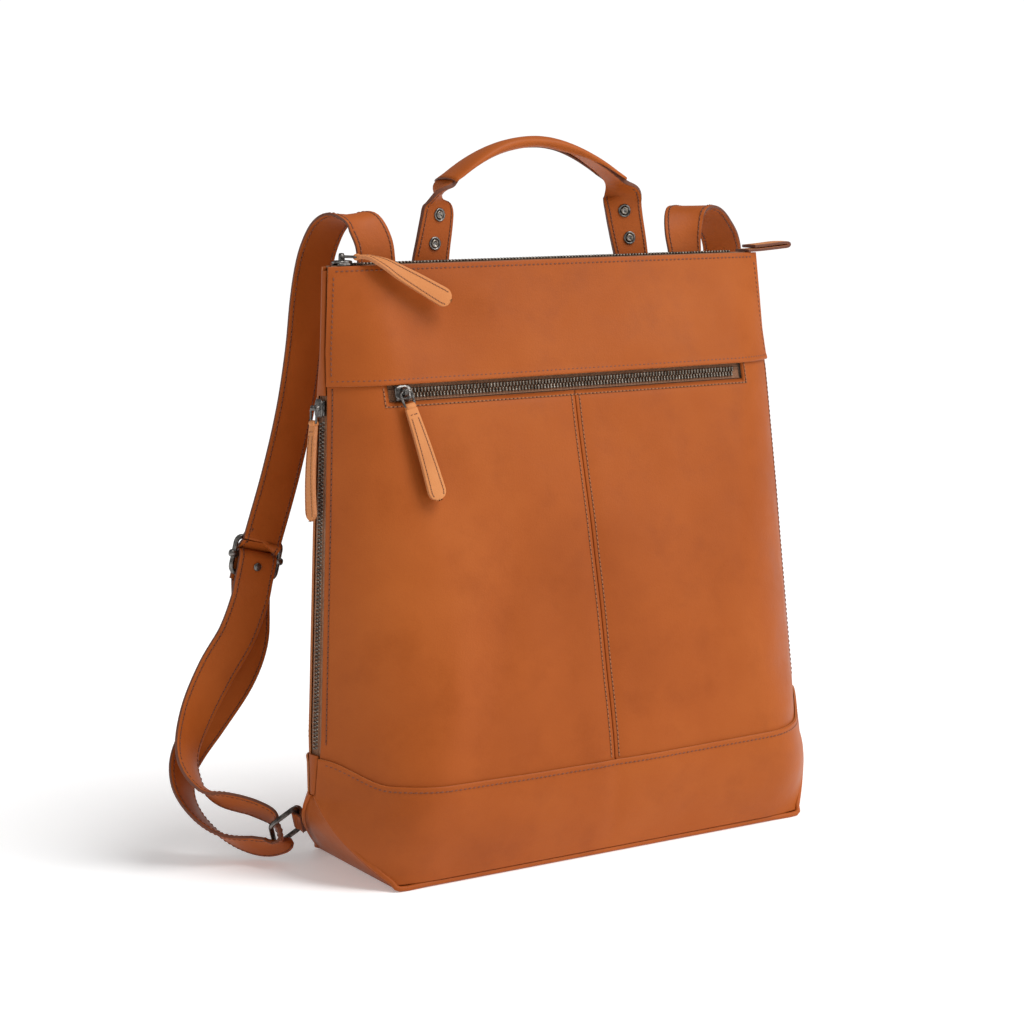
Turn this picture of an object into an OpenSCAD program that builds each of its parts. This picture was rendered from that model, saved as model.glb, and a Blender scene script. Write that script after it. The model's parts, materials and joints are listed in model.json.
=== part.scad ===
// Leather tote backpack: two soft panels on a boat-shaped base, three zips, a grab handle
// and two shoulder straps. +X is to the right, -Y is the front, +Z is up. The origin is
// the centre of the base, on the ground.

/* [Body] */
// Height of the body without the handle
body_h = 400; // [370:10:430]
// Width across the top edge
top_w = 341; // [320:5:350]
// Width across the raised tips of the base
side_w = 390; // [380:5:410]
// Length of the flat base between its corners
base_w = 322; // [300:5:330]
// Depth of the flat base
base_d = 120; // [110:2:130]
// Height of the raised tips of the base
tip_z = 56; // [50:1:62]
// Offset of the top edge behind the centre of the base
top_y = 7; // [4:1:10]
// Half of the thickness at the middle of the top edge and down the side edges
edge_half = 9; // [9:0.5:10]
// How far the front swells past the base at the top of the base band
front_swell = 11; // [6:1:14]
// How far the back swells past the base at the top of the base band
back_swell = 5; // [2:1:8]
// Leather thickness
leather_t = 1.8; // [1.4:0.1:1.8]

/* [Seams] */
// Height of the base band at the middle
band_z = 67; // [64:1:72]
// Extra height of the base band at the side edges
band_rise = 16; // [10:1:18]
// Height of the lower edge of the yoke
yoke_z = 324; // [322:1:326]
// Radius of the piping round the base
piping_r = 1.8; // [1.4:0.1:1.8]

/* [Zips] */
// Width of the closed zip chain
chain_w = 6; // [5:0.5:6]
// Spacing of the notches along the chain
chain_pitch = 4.5; // [4:0.5:6]
// Half of the length of the pocket opening
pocket_half = 141; // [130:1:141]
// Height of the pocket opening
pocket_open_h = 10.6; // [10.6:0.1:11]
// Width of a leather zip pull at its rounded end
pull_w = 13; // [11:0.5:14]
// Length of a leather zip pull
pull_len = 62; // [50:1:64]

/* [Handle] */
// Distance between the middles of the two handle legs
handle_span = 160; // [150:2:170]
// Width of a handle leg
leg_w = 27; // [22:1:28]
// Width of the rolled grip at its middle
grip_w = 14; // [13:0.5:16]
// Height of the grip's middle above the top edge
grip_rise = 80; // [74:1:84]

/* [Shoulder straps] */
// Strap width
strap_w = 28; // [26:1:28]
// Strap thickness
strap_t = 2.4; // [2:0.1:2.4]
// Wire diameter of the strap adjusters and rings
wire_d = 3.4; // [3:0.1:3.4]

/* [Hidden] */
$fn = 32;
gap = 0.4;
tip_half = 4.5;
piping_lift = 0.6;
band_end = 0.965;
patch_gap = 0.6;
patch_end = 0.86;
tape_t = 0.7;
lining_t = 0.6;
lining_off = leather_t + 1.6;
tip_y = -5;
zip_z = yoke_z - 5;
side_zip_low = 83;
side_zip_high = 318;
chain_t = 2.2;
stud_z = [413, 432];
handle_y = 24;
handle_x = -2.5;

leather = [0.72, 0.36, 0.15];
pale_leather = [0.82, 0.5, 0.28];
dark_leather = [0.55, 0.25, 0.1];
gunmetal = [0.42, 0.4, 0.38];
tape_brown = [0.4, 0.24, 0.15];
cloth = [0.45, 0.38, 0.3];

// ---- The body's shape ----

function lerp(a, b, t) = a + (b - a) * t;
function ease(t) = let (c = min(1, max(0, t))) c * c * (3 - 2 * c);
function up_share(z) = (z - tip_z) / (body_h - tip_z);

// Middle plane, half width and half edge thickness at a height
function mid_y(z) = z < tip_z ? lerp(0, tip_y, z / tip_z) : lerp(tip_y, top_y, up_share(z));
function half_w(z) = z < tip_z
    ? lerp(base_w / 2, side_w / 2, sin(90 * z / tip_z))
    : lerp(side_w / 2, top_w / 2, up_share(z));
function edge_d(z) = z < tip_z
    ? lerp(base_d / 2, tip_half, z / tip_z)
    : lookup(z, [[tip_z, tip_half], [tip_z + 40, edge_half], [230, edge_half],
                 [side_zip_high, 7.5], [side_zip_high + 28, tip_half]]);

// Y of the middle of the front (side -1) or the back (side 1) at a height
function swell(side) = side < 0 ? front_swell : back_swell;
function bow(side) = side < 0 ? 0.25 : 0.5;
function centre_y(side, z) =
    let (s = (body_h - z) / (body_h - band_z))
    z < band_z
        ? side * (base_d / 2 + swell(side) * sin(90 * z / band_z))
        : lerp(top_y + side * edge_half, side * (base_d / 2 + swell(side)),
               s * (1 + bow(side) * (1 - s)));

// 1 over the flat middle of a panel, falling to 0 at its side edges. The flat middle is
// widest at the base
function knee(z) = lookup(z, [[0, 0.78], [tip_z, 0.68], [110, 0.6], [200, 0.6], [306, 0.76]]);
function crown(k, z) = 1 - pow(max(0, (abs(k) - knee(z)) / (1 - knee(z))), 2);

// Point of a panel: k runs from -1 to 1 across, off is the depth below the surface
function skin(side, k, z, off) =
    let (deep = side * (centre_y(side, z) - mid_y(z)))
    [k * half_w(z), mid_y(z) + side * (lerp(edge_d(z), deep, crown(k, z)) - off), z];

// Top of the base band
function band_top(k) = band_z + 3 * k * k + (band_rise - 3) * ease((abs(k) - 0.84) / 0.16);

// Direction of the straight side edge, seen as two tilts
side_tilt_x = -atan((top_y - tip_y) / (body_h - tip_z));
side_tilt_y = atan((side_w - top_w) / 2 / (body_h - tip_z));
// Slope of the front at the pocket zip
pocket_tilt = -atan((centre_y(-1, zip_z + 5) - centre_y(-1, zip_z - 5)) / 10);

// ---- Shape tools ----

// Closed solid between two grids of points of the same size
module thick_grid(outer, inner, flip = false) {
    rows = len(outer);
    cols = len(outer[0]);
    count = rows * cols;
    points = [for (g = [outer, inner]) for (r = g) for (p = r) p];
    function at(layer, r, c) = layer * count + r * cols + c;
    function quad(a, b, c, d) = flip ? [[c, b, a], [d, c, a]] : [[a, b, c], [a, c, d]];
    faces = [
        for (r = [0 : rows - 2]) for (c = [0 : cols - 2]) for (f = concat(
            quad(at(0, r, c), at(0, r + 1, c), at(0, r + 1, c + 1), at(0, r, c + 1)),
            quad(at(1, r, c), at(1, r, c + 1), at(1, r + 1, c + 1), at(1, r + 1, c)))) f,
        for (c = [0 : cols - 2]) for (f = concat(
            quad(at(0, 0, c), at(0, 0, c + 1), at(1, 0, c + 1), at(1, 0, c)),
            quad(at(0, rows - 1, c), at(1, rows - 1, c), at(1, rows - 1, c + 1),
                 at(0, rows - 1, c + 1)))) f,
        for (r = [0 : rows - 2]) for (f = concat(
            quad(at(0, r, 0), at(1, r, 0), at(1, r + 1, 0), at(0, r + 1, 0)),
            quad(at(0, r, cols - 1), at(0, r + 1, cols - 1), at(1, r + 1, cols - 1),
                 at(1, r, cols - 1)))) f
    ];
    polyhedron(points, faces, convexity = 6);
}

// Piece of the front or back skin between two heights, which may vary with k
module skin_sheet(side, k0, k1, low, high, off0, off1, nk = 16, nz = 8) {
    function grid(off) = [
        for (i = [0 : nk]) let (k = lerp(k0, k1, i / nk))
            [for (j = [0 : nz]) skin(side, k, lerp(low(k), high(k), j / nz), off)]
    ];
    thick_grid(grid(off0), grid(off1), side < 0);
}

// Strip that fills the side edge between the front and back panels
module side_strip(sign, low, high, off0, off1, nz = 6) {
    function half(z) = edge_d(z) - leather_t - gap;
    function edge_pt(z, v, off) = [sign * (half_w(z) - off), mid_y(z) + v * half(z), z];
    function grid(off) = [
        for (v = [-1, 0, 1]) [for (j = [0 : nz]) edge_pt(lerp(low, high, j / nz), v, off)]
    ];
    thick_grid(grid(off0), grid(off1), sign > 0);
}

function unit(v) = v / norm(v);

// Smooth curve through a list of points, with some steps between each pair
function spline_at(a, b, c, d, t) =
    0.5 * (2 * b + (c - a) * t + (2 * a - 5 * b + 4 * c - d) * t * t
           + (3 * b - a - 3 * c + d) * t * t * t);
function spline(pts, steps) = let (n = len(pts)) [
    for (i = [0 : n - 2]) for (j = [0 : steps - 1])
        spline_at(pts[max(0, i - 1)], pts[i], pts[i + 1], pts[min(n - 1, i + 2)], j / steps),
    pts[n - 1]
];
function tangent(pts, i) = unit(pts[min(len(pts) - 1, i + 1)] - pts[max(0, i - 1)]);
function across(t, w) = unit(w - (w * t) * t);

// Flat strap: pts is its middle line, wide is its width direction at each point, and w is
// its width, or a list of its widths at the points
module ribbon(pts, wide, w, t) {
    last = len(pts) - 1;
    function width(i) = is_list(w) ? w[i] : w;
    function corner(i, a, b) =
        let (along = tangent(pts, i), x = across(along, wide[i]), n = cross(along, x))
        pts[i] + a * x * width(i) / 2 + b * n * t / 2;
    front = [for (i = [0 : last]) [for (a = [-1, 0, 1]) corner(i, a, 1)]];
    back = [for (i = [0 : last]) [for (a = [-1, 0, 1]) corner(i, a, -1)]];
    thick_grid(front, back, true);
}

// Round tube along a list of points
module tube(pts, r, sides = 8) {
    last = len(pts) - 1;
    ref = [0.13, 0.31, 0.94];
    function ring_pt(i, s) =
        let (along = tangent(pts, i), x = across(along, ref), y = cross(along, x))
        pts[i] + r * (cos(360 * s / sides) * x + sin(360 * s / sides) * y);
    points = [for (i = [0 : last]) for (s = [0 : sides - 1]) ring_pt(i, s)];
    walls = [
        for (i = [0 : last - 1]) for (s = [0 : sides - 1])
            let (a = i * sides + s, b = i * sides + (s + 1) % sides)
            for (f = [[a, a + sides, b], [b, a + sides, b + sides]]) f
    ];
    caps = [
        [for (s = [0 : sides - 1]) s],
        [for (s = [sides - 1 : -1 : 0]) last * sides + s]
    ];
    polyhedron(points, concat(walls, caps), convexity = 6);
}

module rod(a, b, d) {
    v = b - a;
    translate(a)
        rotate([0, acos(v.z / norm(v)), atan2(v.y, v.x)])
            cylinder(h = norm(v), d = d);
}

// Closed wire loop through a list of corners, with a ball in each corner
module wire_loop(corners, d) {
    n = len(corners);
    for (i = [0 : n - 1]) {
        rod(corners[i], corners[(i + 1) % n], d);
        translate(corners[i])
            sphere(d = d);
    }
}

// ---- Leather body ----

module front_yoke() {
    color(leather)
        skin_sheet(-1, -1, 1, function(k) yoke_z, function(k) body_h, 0, leather_t, 24, 3);
}

module front_half(sign) {
    color(leather)
        difference() {
            skin_sheet(-1, sign < 0 ? -1 : 0.001, sign < 0 ? -0.001 : 1,
                       function(k) band_top(k) + gap, function(k) yoke_z - gap, 0, leather_t);
            translate([-pocket_half, -base_d, yoke_z - pocket_open_h])
                cube([2 * pocket_half, base_d + top_y, pocket_open_h + 1]);
        }
}

module front_panel_left() {
    front_half(-1);
}

module front_panel_right() {
    front_half(1);
}

// Band round the foot of one side. Its ends stop short of the piping
module base_band(side) {
    color(leather)
        skin_sheet(side, -band_end, band_end, function(k) 2 * piping_r + piping_lift + gap,
                   function(k) band_top(k), 0, leather_t, 32, 5);
}

module front_base_band() {
    base_band(-1);
}

module back_base_band() {
    base_band(1);
}

module back_panel() {
    color(leather)
        skin_sheet(1, -1, 1, function(k) band_top(k) + gap, function(k) body_h, 0, leather_t,
                   24, 8);
}

// Reinforcing patch on the back that the handle and straps are sewn to
module strap_patch() {
    color(leather)
        skin_sheet(1, -patch_end, patch_end, function(k) body_h - 38, function(k) body_h - 3,
                   -leather_t - patch_gap, -patch_gap, 24, 2);
}

// Profile of the base from tip to tip, as [x, z] stations
base_steps = 6;
base_profile = [
    for (i = [base_steps : -1 : 0]) let (z = tip_z * i / base_steps) [-half_w(z), z],
    for (x = [-0.6, -0.2, 0.2, 0.6]) [x * base_w / 2, 0],
    for (i = [0 : base_steps]) let (z = tip_z * i / base_steps) [half_w(z), z]
];

// Flat bottom with its ends turned up into pointed gussets
module base_panel() {
    function inward(s, off) =
        let (z = s[1], a = z > 0 ? 90 * pow(z / tip_z, 0.5) * 0.8 : 0, side = s[0] < 0 ? 1 : -1)
        [s[0] + side * off * sin(a), z + off * cos(a)];
    function row(s, off) =
        let (p = inward(s, off), half = edge_d(s[1]) - 2 * piping_r)
        [for (v = [-1, -0.5, 0, 0.5, 1]) [p[0], mid_y(s[1]) + v * half, p[1]]];
    color(dark_leather)
        thick_grid([for (s = base_profile) row(s, 0)], [for (s = base_profile) row(s, leather_t)]);
}

module piping(side) {
    function edge_pt(s) =
        [s[0] * (1 - piping_r / side_w), mid_y(s[1]) + side * (edge_d(s[1]) - piping_r),
         s[1] + piping_r + piping_lift];
    color(leather)
        tube(spline([for (s = base_profile) edge_pt(s)], 2), piping_r);
}

module front_piping() {
    piping(-1);
}

module back_piping() {
    piping(1);
}

module left_side_strips() {
    color(leather) {
        side_strip(-1, side_zip_high + gap, body_h - 3, 0, leather_t, 3);
        side_strip(-1, tip_z + 5, side_zip_low - gap, 0, leather_t, 2);
    }
}

module right_side_strip() {
    color(leather)
        side_strip(1, tip_z + 5, body_h - 3, 0, leather_t, 12);
}

// ---- Inside the body ----

module front_lining() {
    color(cloth)
        skin_sheet(-1, -0.93, 0.93, function(k) 14, function(k) body_h - 6,
                   lining_off, lining_off + lining_t, 16, 8);
}

module back_lining() {
    color(cloth)
        skin_sheet(1, -0.93, 0.93, function(k) 14, function(k) body_h - 6,
                   lining_off, lining_off + lining_t, 16, 8);
}

module base_board() {
    color("dimgray")
        translate([-base_w / 2 + 6, -base_d / 2 + 8, leather_t + gap])
            cube([base_w - 12, base_d - 16, 2]);
}

// Bag of the front pocket: a cloth sheet behind the lining, turned up at its foot and sides
module pocket_lining() {
    depth = 20;
    foot = 130;
    off = lining_off + lining_t + 1.6;
    color(cloth)
        difference() {
            skin_sheet(-1, -0.72, 0.72, function(k) foot, function(k) zip_z - 8,
                       off, off + depth, 4, 4);
            skin_sheet(-1, -0.715, 0.715, function(k) foot + 1, function(k) zip_z,
                       off - 0.6, off + depth - 1, 4, 4);
        }
}

// Padded sheet that keeps a laptop against the back
module laptop_divider() {
    off = 24;
    // Straight across, while the panel behind it curves in at its sides
    function sheet(off) = [
        for (k = [-0.74, 0, 0.74])
            [for (j = [0 : 6]) let (z = lerp(14, 285, j / 6)) [k * half_w(z), skin(1, 0, z, off).y, z]]
    ];
    color("dimgray")
        thick_grid(sheet(off), sheet(off + 4), false);
}

// ---- Zips ----

// Chain of closed teeth along X, one prism with a notched outline, facing -Y
module chain(len) {
    n = floor(len / chain_pitch);
    notch = 0.28 * chain_pitch;
    side_pts = [
        for (i = [0 : n - 1])
            for (p = [[0, 1], [chain_pitch - notch, 1], [chain_pitch - notch, 0.55],
                      [chain_pitch, 0.55]])
                [i * chain_pitch + p[0], p[1] * chain_w / 2]
    ];
    back_pts = [for (i = [len(side_pts) - 1 : -1 : 0]) [side_pts[i][0], -side_pts[i][1]]];
    color(gunmetal)
        rotate([90, 0, 0])
            linear_extrude(height = chain_t)
                polygon(concat(side_pts, back_pts));
}

// Slider over the chain, its lug's hole running along the chain or across it
slider_len = 12;
plate_y = chain_t + gap;
plate_t = 1.4;
lug_r = 1.2;
link_y = -plate_y - plate_t - 2.4;
link_w = 8.6;
link_len = 10;
link_d = 1.6;
pull_t = 2.6;
pull_head_r = 2.3;

module zip_slider(lug_turn = 0) {
    wing = chain_w / 2 + gap;
    color(gunmetal) {
        translate([-slider_len / 2, -plate_y - plate_t, -wing - 1])
            cube([slider_len, plate_t, 2 * wing + 2]);
        for (s = [-1, 1])
            translate([-slider_len / 2, -plate_y, s * (wing + 0.5) - 0.5])
                cube([slider_len, plate_y - gap, 1]);
        rotate([0, lug_turn, 0])
            difference() {
                translate([-2.5, link_y - 2.2, -2.2])
                    cube([5, -plate_y - plate_t - link_y + 2.6, 4.4]);
                translate([-4, link_y, 0])
                    rotate([0, 90, 0])
                        cylinder(h = 8, r = lug_r);
            }
    }
}

// Wire link that hangs from the lug: its top bar lies along X at the origin
module zip_link() {
    color(gunmetal)
        wire_loop([[-link_w / 2, 0, 0], [link_w / 2, 0, 0], [link_w / 2, 0, -link_len],
                   [-link_w / 2, 0, -link_len]], link_d);
}

// Leather pull with a folded head over the link's lower bar, widening to a round end
module zip_pull() {
    neck_w = link_w - link_d - 1;
    color(pale_leather)
        difference() {
            translate([0, 0, -link_len])
                union() {
                    rotate([0, 90, 0])
                        cylinder(h = neck_w, r = pull_head_r, center = true);
                    rotate([90, 0, 0])
                        linear_extrude(height = pull_t, center = true)
                            hull() {
                                translate([0, pull_w / 2 - pull_len])
                                    circle(r = pull_w / 2);
                                translate([-neck_w / 2, -1])
                                    square([neck_w, 1]);
                            }
                }
            translate([-pull_w, 0, -link_len])
                rotate([0, 90, 0])
                    cylinder(h = 2 * pull_w, r = link_d / 2 + 0.3);
        }
}

// Top zip. Its chain faces up, and its slider rests at the left end
top_zip_z = body_h + 0.5;
top_zip_x0 = -154;
top_zip_len = 306;
top_slider_x = -158;

module top_zip_frame() {
    translate([0, top_y, top_zip_z])
        rotate([-90, 0, 0])
            children();
}

// Tape in the shape of the bag's mouth
module top_zip_tape() {
    function half(k) = lerp(edge_d(body_h), edge_half, crown(k, body_h)) - leather_t - gap;
    front_pts = [for (k = [-12 : 12]) [k / 12 * (top_w / 2 - 3), -half(k / 12)]];
    back_pts = [for (k = [12 : -1 : -12]) [k / 12 * (top_w / 2 - 3), half(k / 12)]];
    color(tape_brown)
        translate([0, top_y, top_zip_z - 0.1 - tape_t])
            linear_extrude(height = tape_t)
                polygon(concat(front_pts, back_pts));
}

module top_zip_teeth() {
    translate([top_zip_x0, 0, 0])
        top_zip_frame()
            chain(top_zip_len);
}

module top_zip_slider() {
    translate([top_slider_x, 0, 0])
        top_zip_frame()
            zip_slider(-90 - top_link_turn);
}

// The top link leans out over the front edge, and its pull is draped down the front
top_link_turn = -35;
top_pivot = [top_slider_x, top_y, top_zip_z - link_y];
top_link_end = top_pivot + [link_len * cos(top_link_turn), link_len * sin(top_link_turn), -0.5];
top_pull_pts = [
    for (p = [[1.4, -1, 0], [6.6, -4.8, -0.4], [15, -10.5, -4.5], [24, -14.5, -10.5],
              [36, -17, -17.5], [48, -18.5, -24.5], [58, -19, -30]]) top_link_end + p
];
top_pull_wide = [
    [0.57, 0.82, 0], [0.57, 0.8, 0.1], [0.5, 0.6, 0.5], [0.5, 0.3, 0.7], [0.5, 0.15, 0.85],
    [0.5, 0.1, 0.9], [0.45, 0.1, 0.9]
];

module top_zip_link() {
    translate(top_pivot)
        rotate([0, -87, top_link_turn])
            rotate([0, 0, 90])
                zip_link();
}

module top_zip_pull() {
    pts = spline(top_pull_pts, 3);
    last = len(pts) - 1;
    neck_w = link_w - link_d - 1;
    color(pale_leather) {
        ribbon(pts, spline(top_pull_wide, 3),
               [for (i = [0 : last]) i == last ? 9 : lerp(neck_w, pull_w, i / last)], pull_t);
        translate(top_link_end)
            rotate([90, 0, top_link_turn])
                difference() {
                    cylinder(h = neck_w, r = pull_head_r, center = true);
                    cylinder(h = 2 * neck_w, r = link_d / 2 + 0.3, center = true);
                }
    }
}

// Folded leather tab over the end of the top zip
module top_zip_end_tab() {
    color(leather)
        translate([163, top_y, top_zip_z])
            rotate([0, -3, 0])
                hull() {
                    translate([0, -8, 0.2])
                        cube([2, 16, 4.4]);
                    translate([35, 0, 0.2])
                        for (s = [-1, 1])
                            translate([0, s * 6, 0])
                                cylinder(h = 4.4, r = 4);
                }
}

// Pocket zip, behind the opening under the yoke
front_slider_x = -131;
front_pull_lean = -11;

module front_zip_frame(x) {
    translate([x, centre_y(-1, zip_z), zip_z])
        rotate([pocket_tilt, 0, 0])
            children();
}

module front_zip_tape() {
    half = pocket_half - 1;
    // The lower edge is cut back at both ends, where the panel before it curves away
    outline = [
        [-half, -5], [22 - half, -5], [28 - half, -8], [half - 28, -8],
        [half - 22, -5], [half, -5], [half, 5.3], [-half, 5.3]
    ];
    color(tape_brown)
        front_zip_frame(0)
            translate([0, 2.1 + tape_t, 0])
                rotate([90, 0, 0])
                    linear_extrude(tape_t)
                        polygon(outline);
}

module front_zip_teeth() {
    front_zip_frame(-pocket_half + 16)
        translate([0, 2, 0])
            chain(2 * pocket_half - 20);
}

module front_zip_slider() {
    front_zip_frame(front_slider_x)
        translate([0, 2, 0])
            zip_slider(front_pull_lean);
}

module front_pull_place() {
    front_zip_frame(front_slider_x)
        translate([0, 2 + link_y, 0])
            rotate([0, front_pull_lean, 0])
                children();
}

module front_zip_link() {
    front_pull_place()
        zip_link();
}

module front_zip_pull() {
    front_pull_place()
        zip_pull();
}

// Side zip, down the left edge between the panels
module side_zip_frame(z) {
    translate([-half_w(z), mid_y(z), z])
        rotate([side_tilt_x, side_tilt_y, 0])
            rotate([0, -90, -90])
                children();
}

module side_zip_tape() {
    color(tape_brown)
        side_strip(-1, side_zip_low, side_zip_high, 1.2, 1.2 + tape_t, 6);
}

module side_zip_teeth() {
    side_zip_frame(side_zip_low + 3)
        translate([0, 1, 0])
            chain(side_zip_high - side_zip_low - 18);
}

module side_zip_slider() {
    side_zip_frame(side_zip_high - 8)
        translate([0, 1, 0])
            zip_slider(90);
}

module side_pull_place() {
    side_zip_frame(side_zip_high - 8)
        translate([0, 1 + link_y, 0])
            rotate([0, 90, 0])
                rotate([-2, 0, 0])
                    children();
}

module side_zip_link() {
    side_pull_place()
        zip_link();
}

module side_zip_pull() {
    side_pull_place()
        zip_pull();
}

// ---- Grab handle ----

leg_t = 3.6;
core_t = 2.2;
grip_low = 53;
grip_reach = 67.5;
grip_half_t = 4;
grip_steps = 8;

// Middle line of the grip. k runs from -1 at its left end to 1 at its right end
function grip_pt(k) =
    [handle_x + k * grip_reach, handle_y, body_h + lerp(grip_rise, grip_low, k * k)];
function grip_up(k) = unit([2 * k * (grip_rise - grip_low) / grip_reach, 0, 1]);

// Half width of the sleeve, and how far its section wraps round from the top
function sleeve_half(k) = lerp(grip_w / 2, leg_w / 2 + 1, ease((abs(k) - 0.1) / 0.9));
function sleeve_wrap(k) = lerp(160, 95, ease((abs(k) - 0.2) / 0.8));

// Leather sleeve, rolled round the strap in the middle and open below at its ends
module handle_grip() {
    function at(k, v, off) =
        let (a = v * sleeve_wrap(k))
        grip_pt(k) + [0, (sleeve_half(k) - off) * sin(a), 0]
            + (grip_half_t - off) * cos(a) * grip_up(k);
    function grid(off) = [
        for (i = [-grip_steps : grip_steps])
            [for (j = [-8 : 8]) at(i / grip_steps, j / 8, off)]
    ];
    color(leather)
        thick_grid(grid(0), grid(leather_t));
}

// Strap that runs through the sleeve
module handle_core() {
    ks = [for (i = [-grip_steps : grip_steps]) i / grip_steps];
    color(leather)
        ribbon([for (k = ks) grip_pt(k)], [for (k = ks) [0, 1, 0]],
               [for (k = ks) 1.5 * (sleeve_half(k) - leather_t)], core_t);
}

// Places a leg's children: how far out it is and how far it has turned at a height
function leg_out(h) = lookup(h, [[0, 81], [32, 74.6], [44, 73.3]]) - 80 + handle_span / 2;
function leg_turn(h) = lookup(h, [[0, 0], [13, 6], [36, 13], [45, 57], [52, 88]]);

module stud_place(sign, h) {
    translate([handle_x + sign * leg_out(h), handle_y, body_h + h])
        rotate([90, 0, -sign * leg_turn(h)])
            children();
}

// Flat leg that takes a quarter turn below the grip
module handle_leg(sign) {
    hs = [4, 13, 27, 37, 44.5];
    pts = concat([for (h = hs) [handle_x + sign * leg_out(h), handle_y, body_h + h]],
                 [grip_pt(sign) + [sign * 1.4, 0, -1.2]]);
    turns = [for (h = concat(hs, [52])) [cos(leg_turn(h)), -sign * sin(leg_turn(h)), 0]];
    color(leather)
        difference() {
            ribbon(spline(pts, 3), spline(turns, 3), leg_w, leg_t);
            for (z = stud_z)
                stud_place(sign, z - body_h)
                    cylinder(h = 3 * leg_t, r = 2.2, center = true);
        }
}

module handle_leg_left() {
    handle_leg(-1);
}

module handle_leg_right() {
    handle_leg(1);
}

// Sewn ends of the two legs, flat on the back
module handle_anchors() {
    color(leather)
        for (s = [-1, 1])
            let (x = handle_x + s * leg_out(0))
                ribbon([[x, handle_y, body_h - 0.5], [x, handle_y, body_h - 8],
                        [x, handle_y + 3.5, body_h - 20], [x, handle_y + 8, body_h - 32]],
                       [for (i = [0 : 3]) [1, 0, 0]], leg_w, leg_t);
}

// Two press studs through each leg
module handle_studs() {
    color(gunmetal)
        for (s = [-1, 1])
            for (z = stud_z)
                stud_place(s, z - body_h) {
                    cylinder(h = leg_t + 1.2, r = 2, center = true);
                    for (e = [-1, 1])
                        translate([0, 0, e * (leg_t / 2 + 1)])
                            cylinder(h = 1.2, r = 4.3, center = true);
                }
}

// ---- Shoulder straps ----

// Adjuster: its place, its tilt about Y and the height of its frame
left_buckle_pos = [-196.5, 70, 205.5];
left_buckle_turn = 15;
right_buckle_pos = [172, 88, 213];
right_buckle_turn = 0;
buckle_h = 28;
buckle_bar_d = 2.6;

// Ring: the middle of its sewn bar, the middle of its strap bar and the bars' direction
ring_sewn = [-186, 38, 31];
ring_free = [-204, 40, 20];
ring_along = unit([0.39, 0.655, -0.64]);
ring_half = strap_w / 2 + 1 + wire_d / 2;

// Point beside a buckle: out is towards the back, up is along the strap
function by_buckle(pos, turn, out, up) = pos + [up * sin(turn), out, up * cos(turn)];

// The strap's way through a buckle: over the top bar and behind the middle bar
function threaded(pos, turn) = [
    for (p = [[-4.6, 15], [-4.6, 11.6], [-1.4, 9], [4.8, 3.1], [8, -2]])
        by_buckle(pos, turn, p[0], p[1])
];
// The strap's sewn end, folded round the middle bar
function folded(pos, turn) = [
    for (p = [[-4, -16], [-3.9, -8], [-3.1, 0], [0, 3.1], [3.1, 0], [3.9, -8], [4, -17]])
        by_buckle(pos, turn, p[0], p[1])
];

// Middle line and width direction of each stretch, chosen by hand
left_bar_dir = [1, 0, -0.27];
left_upper_pts = concat([
    [-124, 26, 374], [-124, 23, 388], [-125, 22, 402], [-126, 24, 416], [-131, 30, 429],
    [-139, 40, 432], [-145, 50, 426], [-148, 60, 412], [-150, 66, 396], [-152, 70, 375],
    [-156, 71, 342], [-164, 71, 302], [-176.5, 70, 260]
], threaded(left_buckle_pos, left_buckle_turn));
left_upper_wide = [for (p = left_upper_pts) p.z < 300 ? left_bar_dir : [1, 0, 0]];
left_lower_pts = concat([
    [-197, 79, 190], [-197.5, 79, 170], [-200, 78, 146], [-211, 77, 123], [-231, 76, 98],
    [-247, 75, 79], [-253, 74, 63], [-251, 72, 46], [-243, 68, 31], [-229, 62, 18.5],
    [-214, 53, 12.5], [-205, 43, 13], [-200, 36, 17.5], [-200, 39, 24], [-202, 44, 31.5],
    [-213, 49, 39], [-234, 55, 48], [-248, 59, 59], [-254, 62, 80], [-246, 64, 105],
    [-230, 66, 132], [-214, 67, 154], [-204, 67, 176]
], folded(left_buckle_pos, left_buckle_turn));
left_lower_wide = concat([
    [-1, 0, 0.2], [-1, 0, 0.1], [-1, 0, 0.2], [-1, 0, 0.4], [-1, -0.1, 0.5],
    [-0.97, -0.2, 0.3], [-0.87, -0.48, 0.12], [-0.65, -0.7, 0.14], [-0.5, -0.85, 0.16],
    [-0.45, -0.78, 0.4], [-0.39, -0.655, 0.64], [-0.39, -0.655, 0.64], [-0.39, -0.655, 0.64],
    [-0.39, -0.655, 0.64], [-0.37, -0.67, 0.64], [-0.34, -0.72, 0.6], [-0.33, -0.75, 0.55],
    [-0.5, -0.85, 0.14], [-0.81, -0.58, 0.13], [-0.96, -0.24, 0.2], [-1, 0, 0.4],
    [-1, 0, 0.4], [-1, 0, 0.3]
], [for (i = [0 : 6]) -left_bar_dir]);
right_upper_pts = concat([
    [124, 26, 374], [124, 23, 388], [123, 22, 402], [123, 24, 416], [129, 30, 429],
    [141, 37, 433], [155, 44, 430], [168, 50, 421], [180, 57, 409], [187, 65, 392],
    [187, 76, 350], [180, 84, 302], [174, 87, 262]
], threaded(right_buckle_pos, right_buckle_turn));
right_upper_wide = concat([
    [1, 0, 0], [1, 0, 0], [1, 0, 0], [1, -0.2, 0], [0.9, -0.45, 0], [0.75, -0.6, 0],
    [0.7, -0.65, 0], [0.7, -0.65, 0], [0.7, -0.65, 0], [0.8, -0.5, 0], [0.9, -0.4, 0],
    [1, -0.3, 0]
], [for (i = [0 : 5]) [1, 0, 0]]);
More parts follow.
